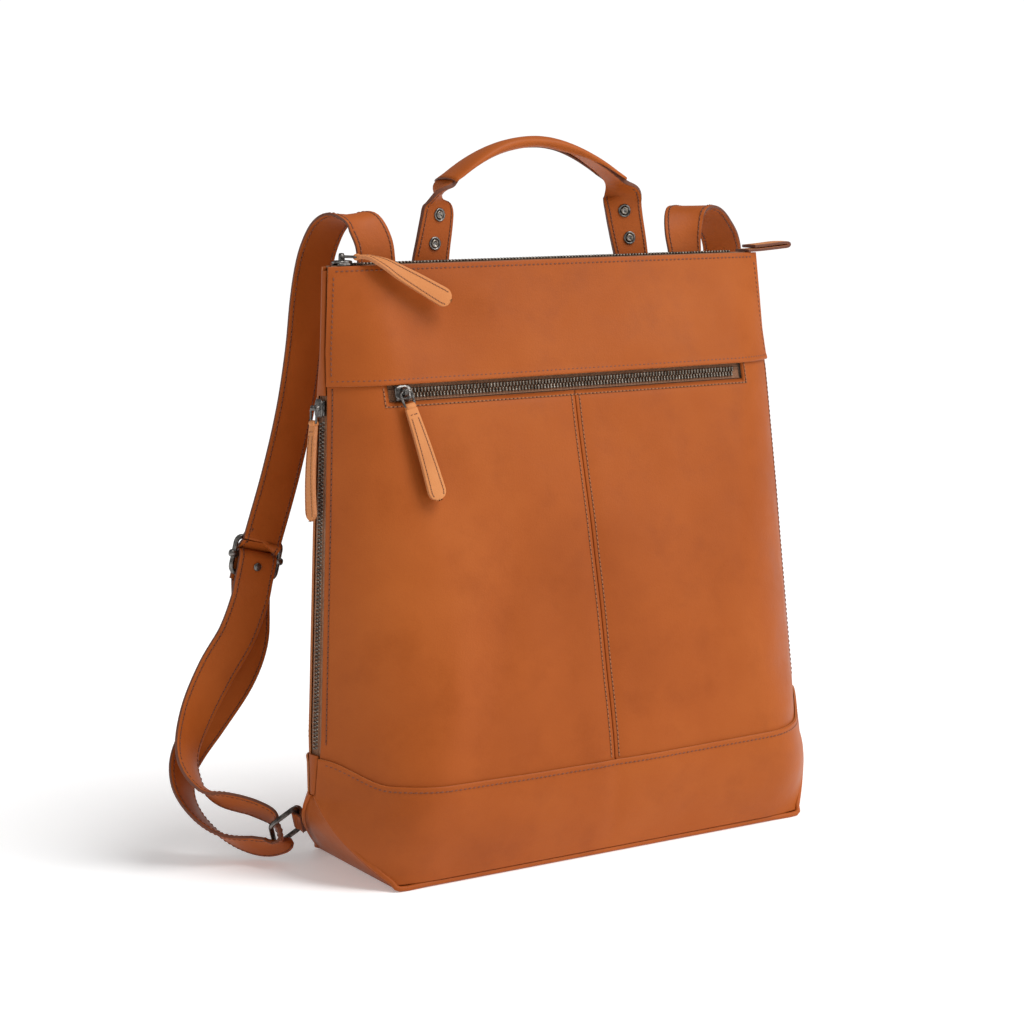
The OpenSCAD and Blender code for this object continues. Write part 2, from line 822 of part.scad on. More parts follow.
right_lower_pts = concat([
    [172, 96, 200], [173, 96, 180], [178, 95, 150], [190, 93, 121], [203, 90, 100],
    [213, 87, 83], [219, 84, 70], [222, 81, 55], [221, 77, 38], [217, 71, 24],
    [212, 63, 16.5], [208, 54, 13], [204, 43, 13], [200, 36, 17.5], [200, 39, 24],
    [202, 44, 32], [206, 50, 38], [210, 56, 42], [215, 63, 47], [217, 69, 54],
    [215, 74, 65], [209, 78, 78], [198, 82, 98], [183, 85, 128], [175, 85, 160]
], folded(right_buckle_pos, right_buckle_turn));
right_lower_wide = concat([
    [1, 0, 0.2], [1, 0, 0.2], [1, 0, 0.4], [1, 0, 0.6], [1, 0, 0.7],
    [1, 0.1, 0.5], [1, 0.4, 0], [0.7, 0.7, -0.4], [0.3, 0.5, -0.9], [-0.1, 0.1, -1],
    [-0.3, 0.5, -0.9], [-0.35, 0.6, -0.7], [-0.39, 0.655, -0.64], [-0.39, 0.655, -0.64],
    [-0.39, 0.655, -0.64], [-0.35, 0.6, -0.7], [-0.3, 0.4, -0.9], [-0.2, 0.1, -1],
    [0, 0, -1], [0.3, 0, -0.9], [0.8, 0, -0.5], [1, 0, 0], [1, 0, 0.4], [1, 0, 0.5],
    [1, 0, 0.4]
], [for (i = [0 : 6]) [1, 0, 0]]);

module strap(pts, wide) {
    steps = 2;
    color(leather)
        ribbon(spline(pts, steps), spline(wide, steps), strap_w, strap_t);
}

module left_strap_upper() {
    strap(left_upper_pts, left_upper_wide);
}

// Lower stretch, with the rivet's hole through both layers of its folded end
module strap_lower(pts, wide, pos, turn) {
    color(leather)
        difference() {
            strap(pts, wide);
            rivet_place(pos, turn)
                cylinder(h = 2 * rivet_reach, r = rivet_r + gap, center = true);
        }
}

module left_strap_lower() {
    strap_lower(left_lower_pts, left_lower_wide, left_buckle_pos, left_buckle_turn);
}

module right_strap_upper() {
    strap(right_upper_pts, right_upper_wide);
}

module right_strap_lower() {
    strap_lower(right_lower_pts, right_lower_wide, right_buckle_pos, right_buckle_turn);
}

// Wire frame with a bar across its middle, around the origin
module buckle(pos, turn) {
    half_w = (strap_w + 2 + wire_d) / 2;
    half_h = (buckle_h - wire_d) / 2;
    color(gunmetal)
        translate(pos)
            rotate([0, turn, 0]) {
                wire_loop([[-half_w, 0, -half_h], [half_w, 0, -half_h], [half_w, 0, half_h],
                           [-half_w, 0, half_h]], wire_d);
                rod([-half_w - 3, 0, 0], [half_w + 3, 0, 0], buckle_bar_d);
            }
}

// Rivet through both layers of the folded end, below the middle bar
rivet_r = 1.2;
rivet_reach = 5.5;

module rivet_place(pos, turn) {
    translate(pos)
        rotate([0, turn, 0])
            translate([0, 0, -6])
                rotate([90, 0, 0])
                    children();
}

module strap_rivet(pos, turn) {
    color(gunmetal)
        rivet_place(pos, turn) {
            cylinder(h = 2 * rivet_reach, r = rivet_r, center = true);
            for (s = [-1, 1])
                translate([0, 0, s * (rivet_reach + 0.3)])
                    cylinder(h = 0.8, r = 2.6, center = true);
        }
}

module left_buckle() {
    buckle(left_buckle_pos, left_buckle_turn);
}

module left_strap_rivet() {
    strap_rivet(left_buckle_pos, left_buckle_turn);
}

module right_buckle() {
    buckle(right_buckle_pos, right_buckle_turn);
}

module right_strap_rivet() {
    strap_rivet(right_buckle_pos, right_buckle_turn);
}

// Places its children with their X, Y and Z along three directions, around the sewn bar
module ring_frame(x, y, z) {
    multmatrix([[x.x, y.x, z.x, ring_sewn.x], [x.y, y.y, z.y, ring_sewn.y],
                [x.z, y.z, z.z, ring_sewn.z], [0, 0, 0, 1]])
        children();
}

module left_ring() {
    reach = ring_free - ring_sewn;
    down = across(ring_along, reach);
    color(gunmetal)
        ring_frame(ring_along, cross(down, ring_along), down)
            wire_loop([[-ring_half, 0, 0], [ring_half, 0, 0], [ring_half, 0, reach * down],
                       [-ring_half, 0, reach * down]], wire_d);
}

// Leather loop round the ring's sewn bar, with its tail at the corner seam
module left_ring_tab() {
    tail = [0.22, -0.75, -0.62];
    down = across(ring_along, tail);
    side = cross(ring_along, down);
    loop_r = wire_d / 2 + 0.3;
    color(leather)
        ring_frame(side, down, ring_along)
            translate([0, 0, -12])
                linear_extrude(height = 24)
                    difference() {
                        union() {
                            circle(r = loop_r + leather_t);
                            translate([-leather_t, 0])
                                square([2 * leather_t, 4.7]);
                        }
                        circle(r = loop_r);
                    }
}

module right_ring() {
    mirror([1, 0, 0])
        left_ring();
}

module right_ring_tab() {
    mirror([1, 0, 0])
        left_ring_tab();
}

front_yoke();
front_panel_left();
front_panel_right();
front_base_band();
back_panel();
back_base_band();
strap_patch();
base_panel();
front_piping();
back_piping();
left_side_strips();
right_side_strip();
front_lining();
back_lining();
base_board();
pocket_lining();
laptop_divider();
top_zip_tape();
top_zip_teeth();
top_zip_slider();
top_zip_link();
top_zip_pull();
top_zip_end_tab();
front_zip_tape();
front_zip_teeth();
front_zip_slider();
front_zip_link();
front_zip_pull();
side_zip_tape();
side_zip_teeth();
side_zip_slider();
side_zip_link();
side_zip_pull();
handle_grip();
handle_core();
handle_leg_left();
handle_leg_right();
handle_anchors();
handle_studs();
left_strap_upper();
left_strap_lower();
left_strap_rivet();
left_buckle();
left_ring();
left_ring_tab();
right_strap_upper();
right_strap_lower();
right_strap_rivet();
right_buckle();
right_ring();
right_ring_tab();
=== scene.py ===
"""The looks of a leather tote backpack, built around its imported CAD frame.

Shapes are worked out in millimetres, in the frame's axes, and build() turns them into
Blender's metres. +X is to the right, -Y is the front and +Z is up.
"""
import json
import math

import bmesh
import bpy
from mathutils import Matrix, Vector, noise


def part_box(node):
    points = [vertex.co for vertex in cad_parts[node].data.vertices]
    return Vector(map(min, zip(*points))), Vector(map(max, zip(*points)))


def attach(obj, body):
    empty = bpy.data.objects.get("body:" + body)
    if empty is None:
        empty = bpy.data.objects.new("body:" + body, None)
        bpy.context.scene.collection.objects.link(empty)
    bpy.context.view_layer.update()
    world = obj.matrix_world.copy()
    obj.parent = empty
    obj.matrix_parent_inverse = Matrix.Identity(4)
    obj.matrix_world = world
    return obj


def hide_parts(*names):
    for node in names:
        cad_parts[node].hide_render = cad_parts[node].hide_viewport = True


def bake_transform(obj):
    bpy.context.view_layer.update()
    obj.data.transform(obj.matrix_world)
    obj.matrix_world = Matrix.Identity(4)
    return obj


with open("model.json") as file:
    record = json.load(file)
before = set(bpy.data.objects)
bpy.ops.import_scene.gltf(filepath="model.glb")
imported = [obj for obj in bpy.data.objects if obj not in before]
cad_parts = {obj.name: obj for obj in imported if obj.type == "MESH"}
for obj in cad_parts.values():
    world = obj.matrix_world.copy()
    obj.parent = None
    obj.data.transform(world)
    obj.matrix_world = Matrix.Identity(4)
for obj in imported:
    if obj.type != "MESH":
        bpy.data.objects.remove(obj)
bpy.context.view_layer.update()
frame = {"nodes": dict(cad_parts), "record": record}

MM = 0.001
UP = Vector((0, 0, 1))
FRONT, BACK = -1, 1


def low(node):
    """Lowest corner of a CAD node, in millimetres."""
    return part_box(node)[0] / MM


def high(node):
    """Highest corner of a CAD node, in millimetres."""
    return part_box(node)[1] / MM


def middle(node):
    return (low(node) + high(node)) / 2


# ---- The body's shape, as in the frame ----

BODY_H = high("front_yoke").z
YOKE_Z = low("front_yoke").z
TOP_W = high("top_zip_tape").x - low("top_zip_tape").x + 6
SIDE_W = 2 * high("base_panel").x
BASE_W, BASE_D = 322, 120
TIP_Z, TIP_Y = 56, -5
TOP_Y = middle("top_zip_teeth").y
EDGE_HALF, TIP_HALF = 9, 4.5
SWELL = {FRONT: 11, BACK: 5}
BOW = {FRONT: 0.25, BACK: 0.5}
BAND_Z, BAND_RISE = 67, 16
WINDOW_X = high("front_zip_tape").x + 1
WINDOW_Z = YOKE_Z - 10.6
ZIP_Z = YOKE_Z - 5
PIPING_R = 1.8
LEATHER_T = 1.8
# Where each hinge of the frame has its pivot
PIVOTS = {j["name"]: Vector(j["pos_m"]) / MM
          for j in frame["record"]["behaviour"]["joints"] if "pos_m" in j}


def lerp(a, b, t):
    return a + (b - a) * t


def ease(t):
    t = min(1, max(0, t))
    return t * t * (3 - 2 * t)


def lookup(value, table):
    """Straight-line value between the pairs of a table."""
    if value <= table[0][0]:
        return table[0][1]
    for (a, at_a), (b, at_b) in zip(table, table[1:]):
        if value <= b:
            return lerp(at_a, at_b, (value - a) / (b - a))
    return table[-1][1]


def bell(distance, width):
    return math.exp(-(distance / width) ** 2)


def up_share(z):
    return (z - TIP_Z) / (BODY_H - TIP_Z)


def mid_y(z):
    return lerp(0, TIP_Y, z / TIP_Z) if z < TIP_Z else lerp(TIP_Y, TOP_Y, up_share(z))


def half_w(z):
    if z < TIP_Z:
        return lerp(BASE_W / 2, SIDE_W / 2, math.sin(math.pi / 2 * z / TIP_Z))
    return lerp(SIDE_W / 2, TOP_W / 2, up_share(z))


def edge_d(z):
    """Half of the body's thickness at its side edge."""
    return lookup(z, ((0, BASE_D / 2), (TIP_Z, TIP_HALF), (TIP_Z + 40, EDGE_HALF),
                      (230, EDGE_HALF), (318, 7.5), (346, TIP_HALF)))


def centre_y(side, z):
    """Y of the middle of the front or the back at a height."""
    swollen = side * (BASE_D / 2 + SWELL[side])
    if z < BAND_Z:
        return side * (BASE_D / 2 + SWELL[side] * math.sin(math.pi / 2 * z / BAND_Z))
    s = (BODY_H - z) / (BODY_H - BAND_Z)
    return lerp(TOP_Y + side * EDGE_HALF, swollen, s * (1 + BOW[side] * (1 - s)))


def crown(k, z):
    knee = lookup(z, ((0, 0.78), (TIP_Z, 0.68), (110, 0.6), (200, 0.6), (306, 0.76)))
    return 1 - (max(0, (abs(k) - knee) / (1 - knee))) ** 2


def band_top(k):
    return BAND_Z + 3 * k * k + (BAND_RISE - 3) * ease((abs(k) - 0.84) / 0.16)


def slack(side, x, z):
    """How far the leather stands out from the plain shape, from its folds and dents."""
    k = abs(x) / half_w(z)
    seat = ease((BODY_H - z) / 30) * ease((1 - k) / 0.10) * ease(z / 22)
    broad = noise.noise(Vector((x * 0.012, z * 0.011, side * 3.7)))
    fine = noise.noise(Vector((x * 0.034, z * 0.027, side * 9.1 + 4)))
    out = 2.0 * broad + 0.55 * fine
    if side == FRONT:
        seat *= 1 - bell(z - ZIP_Z, 13)
        out -= 3.2 * bell(x + 92, 30) * bell(z - 362, 26)
        out += 1.6 * bell(x + 138, 16) * bell(z - 352, 26)
        out += 2.6 * bell(x + 122 - 0.25 * (z - 100), 17) * bell(z - 128, 48)
        out -= 1.8 * bell(x + 84 - 0.3 * (z - 140), 17) * bell(z - 170, 60)
        out += 1.3 * bell(x - 118, 26) * bell(z - 190, 60)
        out -= 1.0 * bell(x, 8) * (z < YOKE_Z)
        crease = math.sin(z * 1.15 + 0.09 * x) * bell(x + 156, 9) * bell(z - 366, 14)
        crease += math.sin(z * 0.85 - 0.1 * x) * bell(x + 168, 10) * bell(z - 96, 12)
        out += 0.16 * crease
    out -= 0.9 * bell(z - band_top(k), 9)
    return out * seat


def skin(side, x, z, out=0):
    """Point of the front or back at x and z, out millimetres outside the plain skin."""
    k = min(1, abs(x) / half_w(z))
    deep = side * (centre_y(side, z) - mid_y(z))
    return Vector((x, mid_y(z) + side * (lerp(edge_d(z), deep, crown(k, z)) + out), z))


def skin_normal(side, x, z, step=1.0):
    inner = half_w(z) - step
    x = max(-inner, min(inner, x))

    def at(a, b):
        return skin(side, a, b, slack(side, a, b))
    along = at(x + step, z) - at(x - step, z)
    rise = at(x, z + step) - at(x, z - step)
    return (along.cross(rise) * -side).normalized()


def surface(side, x, z, lift=0):
    """Point and normal of the slack leather, lift millimetres above it."""
    normal = skin_normal(side, x, z)
    return skin(side, x, z, slack(side, x, z)) + normal * lift, normal


# ---- Mesh tools ----

class Form:
    """Points, faces and the material number of each face, for one piece."""

    def __init__(self):
        self.points, self.faces, self.numbers = [], [], []

    def add(self, points, faces, number=0):
        base = len(self.points)
        self.points += points
        self.faces += [[base + i for i in f] for f in faces]
        self.numbers += [number] * len(faces)
        return self


def build(name, form, materials, slot, body=None, blend=None, replaces=(), weld=0.0,
          subdivide=0):
    """Makes a Blender object from a form and says which body it moves with."""
    mesh = bpy.data.meshes.new(name)
    mesh.from_pydata([p * MM for p in form.points], [], form.faces)
    for m in materials:
        mesh.materials.append(m)
    mesh.polygons.foreach_set("material_index", form.numbers)
    if weld:
        bm = bmesh.new()
        bm.from_mesh(mesh)
        bmesh.ops.remove_doubles(bm, verts=bm.verts, dist=weld * MM)
        bmesh.ops.recalc_face_normals(bm, faces=bm.faces)
        bm.to_mesh(mesh)
        bm.free()
    mesh.validate()
    mesh.shade_smooth()
    obj = bpy.data.objects.new(name, mesh)
    bpy.context.scene.collection.objects.link(obj)
    if subdivide:
        modifier = obj.modifiers.new("Round", "SUBSURF")
        modifier.levels = modifier.render_levels = subdivide
    if body:
        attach(obj, body)
    if blend:
        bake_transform(obj)
    if replaces:
        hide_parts(*replaces)
    return obj


def grid_faces(rows, cols, skip=lambda r, c: False, flip=False, wrap=False):
    """Faces of a grid of points, row by row. wrap joins the last column to the first."""
    faces = []
    for r in range(rows - 1):
        for c in range(cols if wrap else cols - 1):
            if skip(r, c):
                continue
            d = (c + 1) % cols
            f = [r * cols + c, r * cols + d, (r + 1) * cols + d, (r + 1) * cols + c]
            faces.append(f[::-1] if flip else f)
    return faces


def spline(points, steps):
    """Smooth curve through points, with some steps between each pair."""
    out, last = [], len(points) - 1
    for i in range(last):
        a, b, c, d = (points[max(0, min(last, i + j))] for j in (-1, 0, 1, 2))
        for j in range(steps):
            t = j / steps
            out.append(0.5 * (2 * b + (c - a) * t + (2 * a - 5 * b + 4 * c - d) * t * t
                              + (3 * b - a - 3 * c + d) * t ** 3))
    return out + [points[last]]


def vectors(rows):
    return [Vector(r) for r in rows]


def frames_along(points, wides):
    """Point, width direction, face normal and tangent at each point of a path."""
    out = []
    for i, p in enumerate(points):
        t = (points[min(len(points) - 1, i + 1)] - points[max(0, i - 1)]).normalized()
        x = (wides[i] - t * wides[i].dot(t)).normalized()
        out.append((p, x, t.cross(x), t))
    return out


def strip_section(width, thick, edge=0.8, crown_h=0.25):
    """Outline of a strap: flat faces with rounded edges. Each corner is (x, y, on_edge)."""
    half, top = width / 2, thick / 2
    edge = min(edge, top * 0.98)
    shoulder = half - edge - 1.6
    face = [(-shoulder, crown_h * 0.6), (0, crown_h), (shoulder, crown_h * 0.6)]
    upper = [(x, top + y - crown_h * 0.3, False) for x, y in face]
    arc = [(half - edge + edge * math.sin(math.radians(a)),
            top - edge + edge * math.cos(math.radians(a)), a > 20) for a in (0, 35, 65, 90)]
    right = arc + [(x, -y, e) for x, y, e in arc[::-1]]
    lower = [(-x, -y, e) for x, y, e in upper]
    left = [(-x, -y, e) for x, y, e in right]
    return upper + right + lower + left


def sweep(form, frames, section, face_number=0, edge_number=0, wrap=False):
    """Sweeps an outline along frames. section is a list, or a function of the frame number."""
    cols = 0
    points, on_edge = [], []
    for i, (p, x, n, _) in enumerate(frames):
        outline = section(i) if callable(section) else section
        cols = len(outline)
        points += [p + x * o[0] + n * o[1] for o in outline]
        on_edge = [len(o) > 2 and o[2] for o in outline]
    rows = len(frames)
    if wrap:
        points += points[:cols]
        rows += 1
    faces = grid_faces(rows, cols, wrap=True)
    form.add(points, faces, face_number)
    if edge_number != face_number:
        start = len(form.numbers) - len(faces)
        for i in range(len(faces)):
            c = i % cols
            if on_edge[c] and on_edge[(c + 1) % cols]:
                form.numbers[start + i] = edge_number
    if not wrap:
        form.add(points[:cols], [list(range(cols))[::-1]], edge_number)
        form.add(points[-cols:], [list(range(cols))], edge_number)
    return form


def circle(radius, sides=12):
    turn = 2 * math.pi / sides
    return [(radius * math.cos(i * turn), radius * math.sin(i * turn)) for i in range(sides)]


def tube(form, points, radius, sides=12, number=0, closed=False):
    """Round rod or wire along a path."""
    frames, x = [], None
    count = len(points)
    for i, p in enumerate(points):
        after = points[(i + 1) % count] if closed else points[min(count - 1, i + 1)]
        before = points[i - 1] if closed else points[max(0, i - 1)]
        t = (after - before).normalized()
        if x is None:
            x = t.orthogonal().normalized()
        x = (x - t * x.dot(t)).normalized()
        frames.append((p, x, t.cross(x), t))
    return sweep(form, frames, circle(radius, sides), number, number, wrap=closed)


def lathe(form, centre, axis, profile, sides=24, number=0):
    """Turned solid about an axis. profile is a list of (along, radius)."""
    x = axis.orthogonal().normalized()
    y = axis.cross(x)
    points = []
    for along, radius in profile:
        points += [centre + axis * along + x * a + y * b for a, b in circle(radius, sides)]
    base = len(form.points)
    form.add(points, grid_faces(len(profile), sides, wrap=True), number)
    last = base + (len(profile) - 1) * sides
    form.faces.append([base + i for i in range(sides)][::-1])
    form.faces.append([last + i for i in range(sides)])
    form.numbers += [number, number]
    return form


def block(form, centre, axes, half, number=0, soft=0.3):
    """Box with cut corners, as in a cast metal piece. axes are three unit directions."""
    points, faces = [], []
    for level, shrink in ((-1, soft), (-1 + soft, 0), (1 - soft, 0), (1, soft)):
        for a, b in ((-1, -1), (1, -1), (1, 1), (-1, 1)):
            for cut in ((0, 1), (1, 0)) if a * b > 0 else ((1, 0), (0, 1)):
                u = a * (1 - shrink - cut[0] * soft)
                v = b * (1 - shrink - cut[1] * soft)
                points.append(centre + axes[0] * u * half[0] + axes[1] * v * half[1]
                              + axes[2] * level * half[2])
    faces = grid_faces(4, 8, wrap=True)
    faces += [list(range(8))[::-1], list(range(24, 32))]
    return form.add(points, faces, number)


# ---- Sewn leather sheets ----

def stations(count, length, roll):
    """Shares from 0 to 1 with extra ones close to both ends, for the rolled edge and the
    groove of the stitches."""
    near = [d / length for d in (0, 0.15 * roll, 0.45 * roll, roll, 2.2, 3.2, 4.2, 6)]
    inner = [lerp(near[-1], 1 - near[-1], i / count) for i in range(1, count)]
    return near + inner + [1 - s for s in near[::-1]]


def rim_quads(rows, cols):
    """Faces that join the borders of two grids, the second stored after the first."""
    last, count = (rows - 1) * cols, rows * cols
    rim = (list(range(cols)) + [r * cols + cols - 1 for r in range(1, rows)]
           + [last + c for c in range(cols - 2, -1, -1)]
           + [r * cols for r in range(rows - 2, 0, -1)])
    return [[a, b, b + count, a + count] for a, b in zip(rim, rim[1:] + rim[:1])]


def sheet(name, side, low_z, high_z, lift, thick, k_range=(-1, 1), columns=60, rows=24,
          window=None, materials=None, slot="leather", replaces=(), body="root"):
    """Leather sheet on the front or the back, with rolled edges.

    low_z, high_z and lift take k; lift also takes z. window is (x, z): past that x towards
    the middle and above that z, the sheet is cut away.
    """
    roll = thick / 2 if window else 0.45
    k0, k1 = k_range
    shares = stations(columns, abs(k1 - k0) * SIDE_W / 2, roll)
    ups = stations(rows, 250, roll)
    grid = []
    for u in shares:
        k = lerp(k0, k1, u)
        column = []
        for v in ups:
            z = lerp(low_z(k), high_z(k), v)
            column.append([k * half_w(z), z])
        grid.append(column)
    if window:
        wx, wz = window
        inner = min(range(len(shares)), key=lambda i: abs(grid[i][-1][0] - wx))
        top = min(range(len(ups)), key=lambda j: abs(grid[inner][j][1] - wz))
        for u, column in enumerate(grid):
            for v, point in enumerate(column):
                point[1] += (wz - column[top][1]) * bell(v - top, 3) if v != top else 0
            column[top][1] = wz
        for v in range(len(ups)):
            shift = wx - grid[inner][v][0]
            for u in range(len(shares)):
                grid[u][v][0] += shift * bell(u - inner, 4)

    def edge_distance(x, z):
        k = x / half_w(z)
        distance = min(z - low_z(k), high_z(k) - z)
        slope = 1.0 if abs(k0) < 1 or abs(k1) < 1 else 1.6
        distance = min(distance, abs(x - k0 * half_w(z)) * slope, abs(k1 * half_w(z) - x) * slope)
        if window:
            past = abs(wx) - abs(x)
            above = z - wz
            distance = min(distance, math.hypot(min(0, past), min(0, above))
                           if past > 0 or above > 0 else math.hypot(past, above))
        return max(0, distance)

    form = Form()
    for layer in (0, 1):
        points = []
        for column in grid:
            for x, z in column:
                distance = edge_distance(x, z)
                near = min(roll, distance)
                inset = roll - math.sqrt(max(0, roll ** 2 - (roll - near) ** 2))
                k = x / half_w(z)
                groove = 0.3 * bell(distance - 3.2, 0.9) * (lift(k, z) > 0.8)
                rise = lift(k, z) - (inset + groove if layer == 0 else thick - inset)
                points.append(surface(side, x, z, rise)[0])

        def cut(r, c):
            if not window:
                return False
            x = (grid[r][c][0] + grid[r + 1][c][0]) / 2
            return abs(x) < abs(wx) and c >= top
        flip = (side == FRONT) == (layer == 0)
        form.add(points, grid_faces(len(grid), len(ups), skip=cut, flip=flip))
    if not window:
        rim = rim_quads(len(grid), len(ups))
        form.faces += rim
        form.numbers += [1] * len(rim)
    return build(name, form, materials or [LEATHER, RAW_EDGE], slot, body=body,
                 replaces=replaces, weld=0.002)


# ---- Stitching ----

STITCH_PITCH = 3.4


def add_stitches(form, path, pitch=STITCH_PITCH, size=1.0):
    """Row of thread stitches, with dark discs of painted shade at the needle holes. path is a
    list of (point, normal).
    """
    travelled, target = 0.0, pitch / 2
    for (a, na), (b, nb) in zip(path, path[1:]):
        step = (b - a).length
        if step < 1e-6:
            continue
        while target <= travelled + step:
            share = (target - travelled) / step
            centre, normal = a.lerp(b, share), na.lerp(nb, share).normalized()
            along = (b - a).normalized()
            add_stitch(form, centre, along, normal, pitch, size)
            target += pitch
        travelled += step


def add_stitch(form, centre, along, normal, pitch, size):
    side = normal.cross(along).normalized()
    lean = (along + side * 0.10).normalized()
    length = 0.38 * pitch
    points = []
    for share, fat, rise in ((-1, 0.3, -0.25), (-0.75, 0.85, 0.05), (0, 1, 0.22),
                             (0.75, 0.85, 0.05), (1, 0.3, -0.25)):
        middle_point = centre + lean * share * length + normal * rise * size
        points += [middle_point + side * a * fat + normal * b * fat * 0.8
                   for a, b in circle(0.5 * size, 6)]
    faces = grid_faces(5, 6, wrap=True) + [list(range(6))[::-1], list(range(24, 30))]
    form.add(points, faces, 0)
    # Dark disc just above the leather at the needle hole: painted shade of the hole
    hole = centre + along * pitch / 2 + normal * 0.02
    ring = [hole + along * a + side * b for a, b in circle(0.55 * size, 6)]
    sunk = [p - normal * 0.4 for p in ring]
    form.add(ring + sunk, [[0, 1, 2, 3, 4, 5], [11, 10, 9, 8, 7, 6]]
             + [[i, i + 6, (i + 1) % 6 + 6, (i + 1) % 6] for i in range(6)], 1)


def seam(side, corners, lift, step=2.5):
    """Path on the body's surface through (x, z) corners, as points and normals."""
    path = []
    for (x0, z0), (x1, z1) in zip(corners, corners[1:]):
        count = max(1, round(math.hypot(x1 - x0, z1 - z0) / step))
        for i in range(count + 1):
            path.append(surface(side, lerp(x0, x1, i / count), lerp(z0, z1, i / count), lift))
    return path


# ---- Materials ----

def new_material(name):
    material = bpy.data.materials.new(name)
    material.use_nodes = True
    nodes, links = material.node_tree.nodes, material.node_tree.links
    shader = nodes["Principled BSDF"]
    place = nodes.new("ShaderNodeTexCoord")
    return material, nodes, links, shader, place.outputs["Object"]


def texture(nodes, links, place, kind, scale, detail=3.0, rough=0.55, stretch=None):
    """Noise or Voronoi texture in the object's own metres."""
    node = nodes.new("ShaderNodeTex" + kind)
    node.inputs["Scale"].default_value = scale
    if kind == "Noise":
        node.inputs["Detail"].default_value = detail
        node.inputs["Roughness"].default_value = rough
    if stretch:
        mapping = nodes.new("ShaderNodeMapping")
        mapping.inputs["Scale"].default_value = stretch
        links.new(place, mapping.inputs["Vector"])
        place = mapping.outputs["Vector"]
    links.new(place, node.inputs["Vector"])
    return node


def ramp(nodes, links, value, stops):
    node = nodes.new("ShaderNodeValToRGB")
    elements = node.color_ramp.elements
    while len(elements) < len(stops):
        elements.new(0.5)
    for element, (position, colour) in zip(elements, stops):
        element.position = position
        element.color = (*colour, 1)
    links.new(value, node.inputs["Fac"])
    return node.outputs["Color"]


def spread(nodes, links, value, from_range, to_range):
    node = nodes.new("ShaderNodeMapRange")
    node.inputs["From Min"].default_value, node.inputs["From Max"].default_value = from_range
    node.inputs["To Min"].default_value, node.inputs["To Max"].default_value = to_range
    links.new(value, node.inputs["Value"])
    return node.outputs["Result"]


def mix(nodes, links, share, a, b, mode="MIX"):
    node = nodes.new("ShaderNodeMix")
    node.data_type = "RGBA"
    node.blend_type = mode
    for socket, value in zip((node.inputs["Factor"], node.inputs["A"], node.inputs["B"]),
                             (share, a, b)):
        if hasattr(value, "links"):
            links.new(value, socket)
        elif isinstance(value, (int, float)):
            socket.default_value = value
        else:
            socket.default_value = (*value, 1)
    return node.outputs["Result"]


def bump(nodes, links, shader, layers):
    """Chain of bumps. Each layer is (height, strength, distance in metres)."""
    normal = None
    for height, strength, distance in layers:
        node = nodes.new("ShaderNodeBump")
        node.inputs["Strength"].default_value = strength
        node.inputs["Distance"].default_value = distance
        links.new(height, node.inputs["Height"])
        if normal:
            links.new(normal, node.inputs["Normal"])
        normal = node.outputs["Normal"]
    links.new(normal, shader.inputs["Normal"])


def leather(name, tones, gloss=(0.40, 0.56), grain=0.22):
    """Smooth full-grain leather. tones are three colours, dark to light."""
    material, nodes, links, shader, place = new_material(name)
    patches = texture(nodes, links, place, "Noise", 7, 4, 0.6)
    streaks = texture(nodes, links, place, "Noise", 34, 5, 0.62)
    pores = texture(nodes, links, place, "Voronoi", 1150)
    cells = texture(nodes, links, place, "Voronoi", 420)
    cells.feature = "DISTANCE_TO_EDGE"
    wrinkle = texture(nodes, links, place, "Noise", 240, 4, 0.6, stretch=(1, 1, 1.6))
    dark, mid, light = tones
    base = ramp(nodes, links, patches.outputs["Fac"], [(0.25, dark), (0.5, mid), (0.78, light)])
    worn = ramp(nodes, links, streaks.outputs["Fac"],
                [(0.28, (0.88, 0.85, 0.82)), (0.50, (1, 1, 1)), (0.78, (1.0, 1.0, 1.0))])
    colour = mix(nodes, links, 0.75, base, worn, "MULTIPLY")
    speck = ramp(nodes, links, pores.outputs["Distance"],
                 [(0.0, (0.84, 0.80, 0.76)), (0.35, (1, 1, 1))])
    colour = mix(nodes, links, 0.5, colour, speck, "MULTIPLY")
    links.new(colour, shader.inputs["Base Color"])
    rough = spread(nodes, links, streaks.outputs["Fac"], (0.3, 0.7), gloss)
    links.new(rough, shader.inputs["Roughness"])
    bump(nodes, links, shader, [
        (streaks.outputs["Fac"], 0.35, 0.0006),
        (wrinkle.outputs["Fac"], grain, 0.0004),
        (cells.outputs["Distance"], grain, 0.00025),
        (pores.outputs["Distance"], grain * 0.8, 0.00015),
    ])
    shader.inputs["Specular IOR Level"].default_value = 0.12
    return material


def cut_edge(name, dark, light):
    """Painted or raw cut edge of leather: fine fibres along the edge."""
    material, nodes, links, shader, place = new_material(name)
    fibres = texture(nodes, links, place, "Noise", 900, 4, 0.7)
    colour = ramp(nodes, links, fibres.outputs["Fac"], [(0.35, dark), (0.65, light)])
    links.new(colour, shader.inputs["Base Color"])
    rough = spread(nodes, links, fibres.outputs["Fac"], (0.3, 0.7), (0.5, 0.75))
    links.new(rough, shader.inputs["Roughness"])
    bump(nodes, links, shader, [(fibres.outputs["Fac"], 0.4, 0.0003)])
    return material


